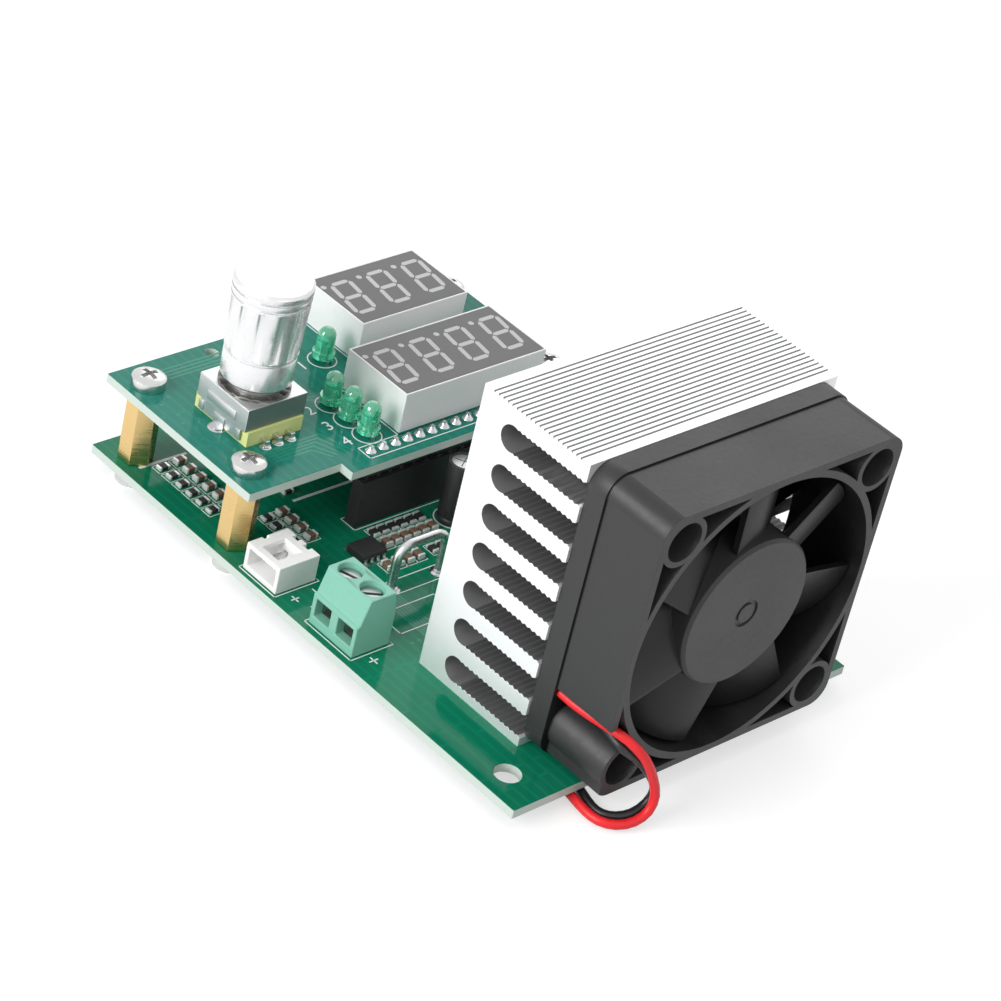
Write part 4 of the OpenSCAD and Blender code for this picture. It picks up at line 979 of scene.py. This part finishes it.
def bushing_thread():
    root, crest, bore, pitch, start, height = 3.5, 3.62, 3.45, 0.5, 7.25, 4.1
    profile = [(root, 0.0)]
    for i in range(8):
        z = pitch * i
        profile += [(root, z + 0.05), (crest, z + 0.2), (crest, z + 0.3), (root, z + 0.45)]
    profile += [(bore, height), (bore, 0.0), (root, 0.0)]
    bm = bmesh.new()
    lathe(bm, on_panel(ENCODER_X, ENCODER_Y, start), profile, 40)
    piece("bushing_thread", bm, M["sheet"], smooth=25)


def toothed_washer(inner=4.3, outer=5.7, thickness=0.3, lift=0.2, teeth=18):
    """Washer on the encoder's cover, with half of its rim lifted into teeth."""
    seat = on_panel(ENCODER_X, ENCODER_Y)
    seat.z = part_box("encoder_cover")[1][2]
    bm = bmesh.new()
    profile = [(inner, 0.0), (outer, 0.0), (outer, thickness), (inner, thickness), (inner, 0.0)]
    lathe(bm, seat, profile, 4 * teeth)
    raised = []
    for vert in bm.verts:
        arm = vert.co - seat
        turn = math.atan2(arm.y, arm.x) / (2 * math.pi) * teeth
        if math.hypot(arm.x, arm.y) > (inner + outer) / 2 * MM and turn % 1 < 0.5:
            raised.append(vert)
    bmesh.ops.translate(bm, vec=mm(0, 0, lift), verts=raised)
    piece("encoder_washer", bm, M["dark_steel"], smooth=25)


def capacitor_top():
    """Bare aluminium top with a scored cross."""
    seat, score_z, half_score = 10.7, 10.915, 1.5
    bm = bmesh.new()
    lathe(bm, on_main(*CAPACITOR, seat), [(0.0, 0.0), (1.98, 0.0), (1.98, 0.12), (1.8, 0.2), (0.0, 0.22)], 32)
    piece("capacitor_top", bm, M["sheet"])
    bm = bmesh.new()
    middle = on_main(*CAPACITOR, score_z)
    for angle in (30, 120):
        arm = mm(math.cos(math.radians(angle)), math.sin(math.radians(angle)), 0) * half_score
        strip(bm, middle - arm, middle + arm, 0.16, 0.02)
    piece("capacitor_score", bm, M["epoxy"], smooth=None)


def transistor_mark():
    """Moulded ring on the transistor's front."""
    middle, facing = on_main(62.1, 35.8, 11.5), Vector((-1, 0, 0))
    bm = bmesh.new()
    lathe(bm, middle, [(1.9, 0.0), (1.9, 0.05), (1.7, 0.05), (1.7, 0.0)], 32, facing)
    piece("transistor_mark", bm, M["epoxy"])


lamp_posts()
encoder_tabs()
bushing_thread()
toothed_washer()
capacitor_top()
transistor_mark()

# Studio: pale floor, white surround and soft lamps as (name, place, size, watts)
FLOOR_HALF, FLOOR_GREY, FLOOR_GLOW = 6, 0.52, 0.6
SKY_LOW, SKY_HIGH, SKY_RISE = 0.1, 0.7, 0.6
SOFT_LAMPS = [
    ("key_lamp", (-0.1, -0.9, 0.46), 0.6, 8.0),
    ("back_lamp", (-0.64, 0.76, 0.67), 0.8, 2.2),
    ("side_lamp", (0.85, -0.15, 0.4), 0.5, 0.5),
]
LAMP_AIM = Vector((0, 0, 0.02))


def seen_rays(tree):
    """A socket that is 1 for the rays that show the background: to the camera, off metal and through glass."""
    path = add(tree, "ShaderNodeLightPath").outputs
    direct = joined(tree, "MAXIMUM", path["Is Camera Ray"], path["Is Glossy Ray"])
    return joined(tree, "MAXIMUM", direct, path["Is Transmission Ray"])


def pale_floor():
    material = bpy.data.materials.new("pale_floor")
    material.use_nodes = True
    tree = material.node_tree
    principled = tree.nodes["Principled BSDF"]
    principled.inputs["Base Color"].default_value = (FLOOR_GREY, FLOOR_GREY, FLOOR_GREY, 1)
    principled.inputs["Roughness"].default_value = 0.9
    principled.inputs["Emission Color"].default_value = (1, 1, 1, 1)
    tree.links.new(scaled(tree, seen_rays(tree), FLOOR_GLOW), principled.inputs["Emission Strength"])
    bm = bmesh.new()
    bmesh.ops.create_grid(bm, x_segments=1, y_segments=1, size=FLOOR_HALF)
    mesh = bpy.data.meshes.new("floor")
    bm.to_mesh(mesh)
    bm.free()
    mesh.materials.append(material)
    floor = bpy.data.objects.new("floor", mesh)
    scene.collection.objects.link(floor)


def surround():
    """White to the eye; as light it is dim at the horizon and brighter overhead."""
    world = bpy.data.worlds.new("studio_world")
    scene.world = world
    world.use_nodes = True
    tree = world.node_tree
    background = tree.nodes["Background"]
    background.inputs["Color"].default_value = (1, 1, 1, 1)
    place = add(tree, "ShaderNodeTexCoord")
    split = add(tree, "ShaderNodeSeparateXYZ")
    level = add(tree, "ShaderNodeMapRange")
    level.inputs["From Min"].default_value = 0.0
    level.inputs["From Max"].default_value = SKY_RISE
    level.inputs["To Min"].default_value = SKY_LOW
    level.inputs["To Max"].default_value = SKY_HIGH
    link = tree.links.new
    link(place.outputs["Generated"], split.inputs[0])
    link(split.outputs["Z"], level.inputs["Value"])
    link(joined(tree, "MAXIMUM", seen_rays(tree), level.outputs["Result"]), background.inputs["Strength"])


def soft_lamp(name, place, size, watts):
    data = bpy.data.lights.new(name, "AREA")
    data.shape = "SQUARE"
    data.size = size
    data.energy = watts
    lamp = bpy.data.objects.new(name, data)
    scene.collection.objects.link(lamp)
    lamp.location = place
    lamp.rotation_euler = (LAMP_AIM - Vector(place)).to_track_quat("-Z", "Y").to_euler()


pale_floor()
surround()
for lamp in SOFT_LAMPS:
    soft_lamp(*lamp)
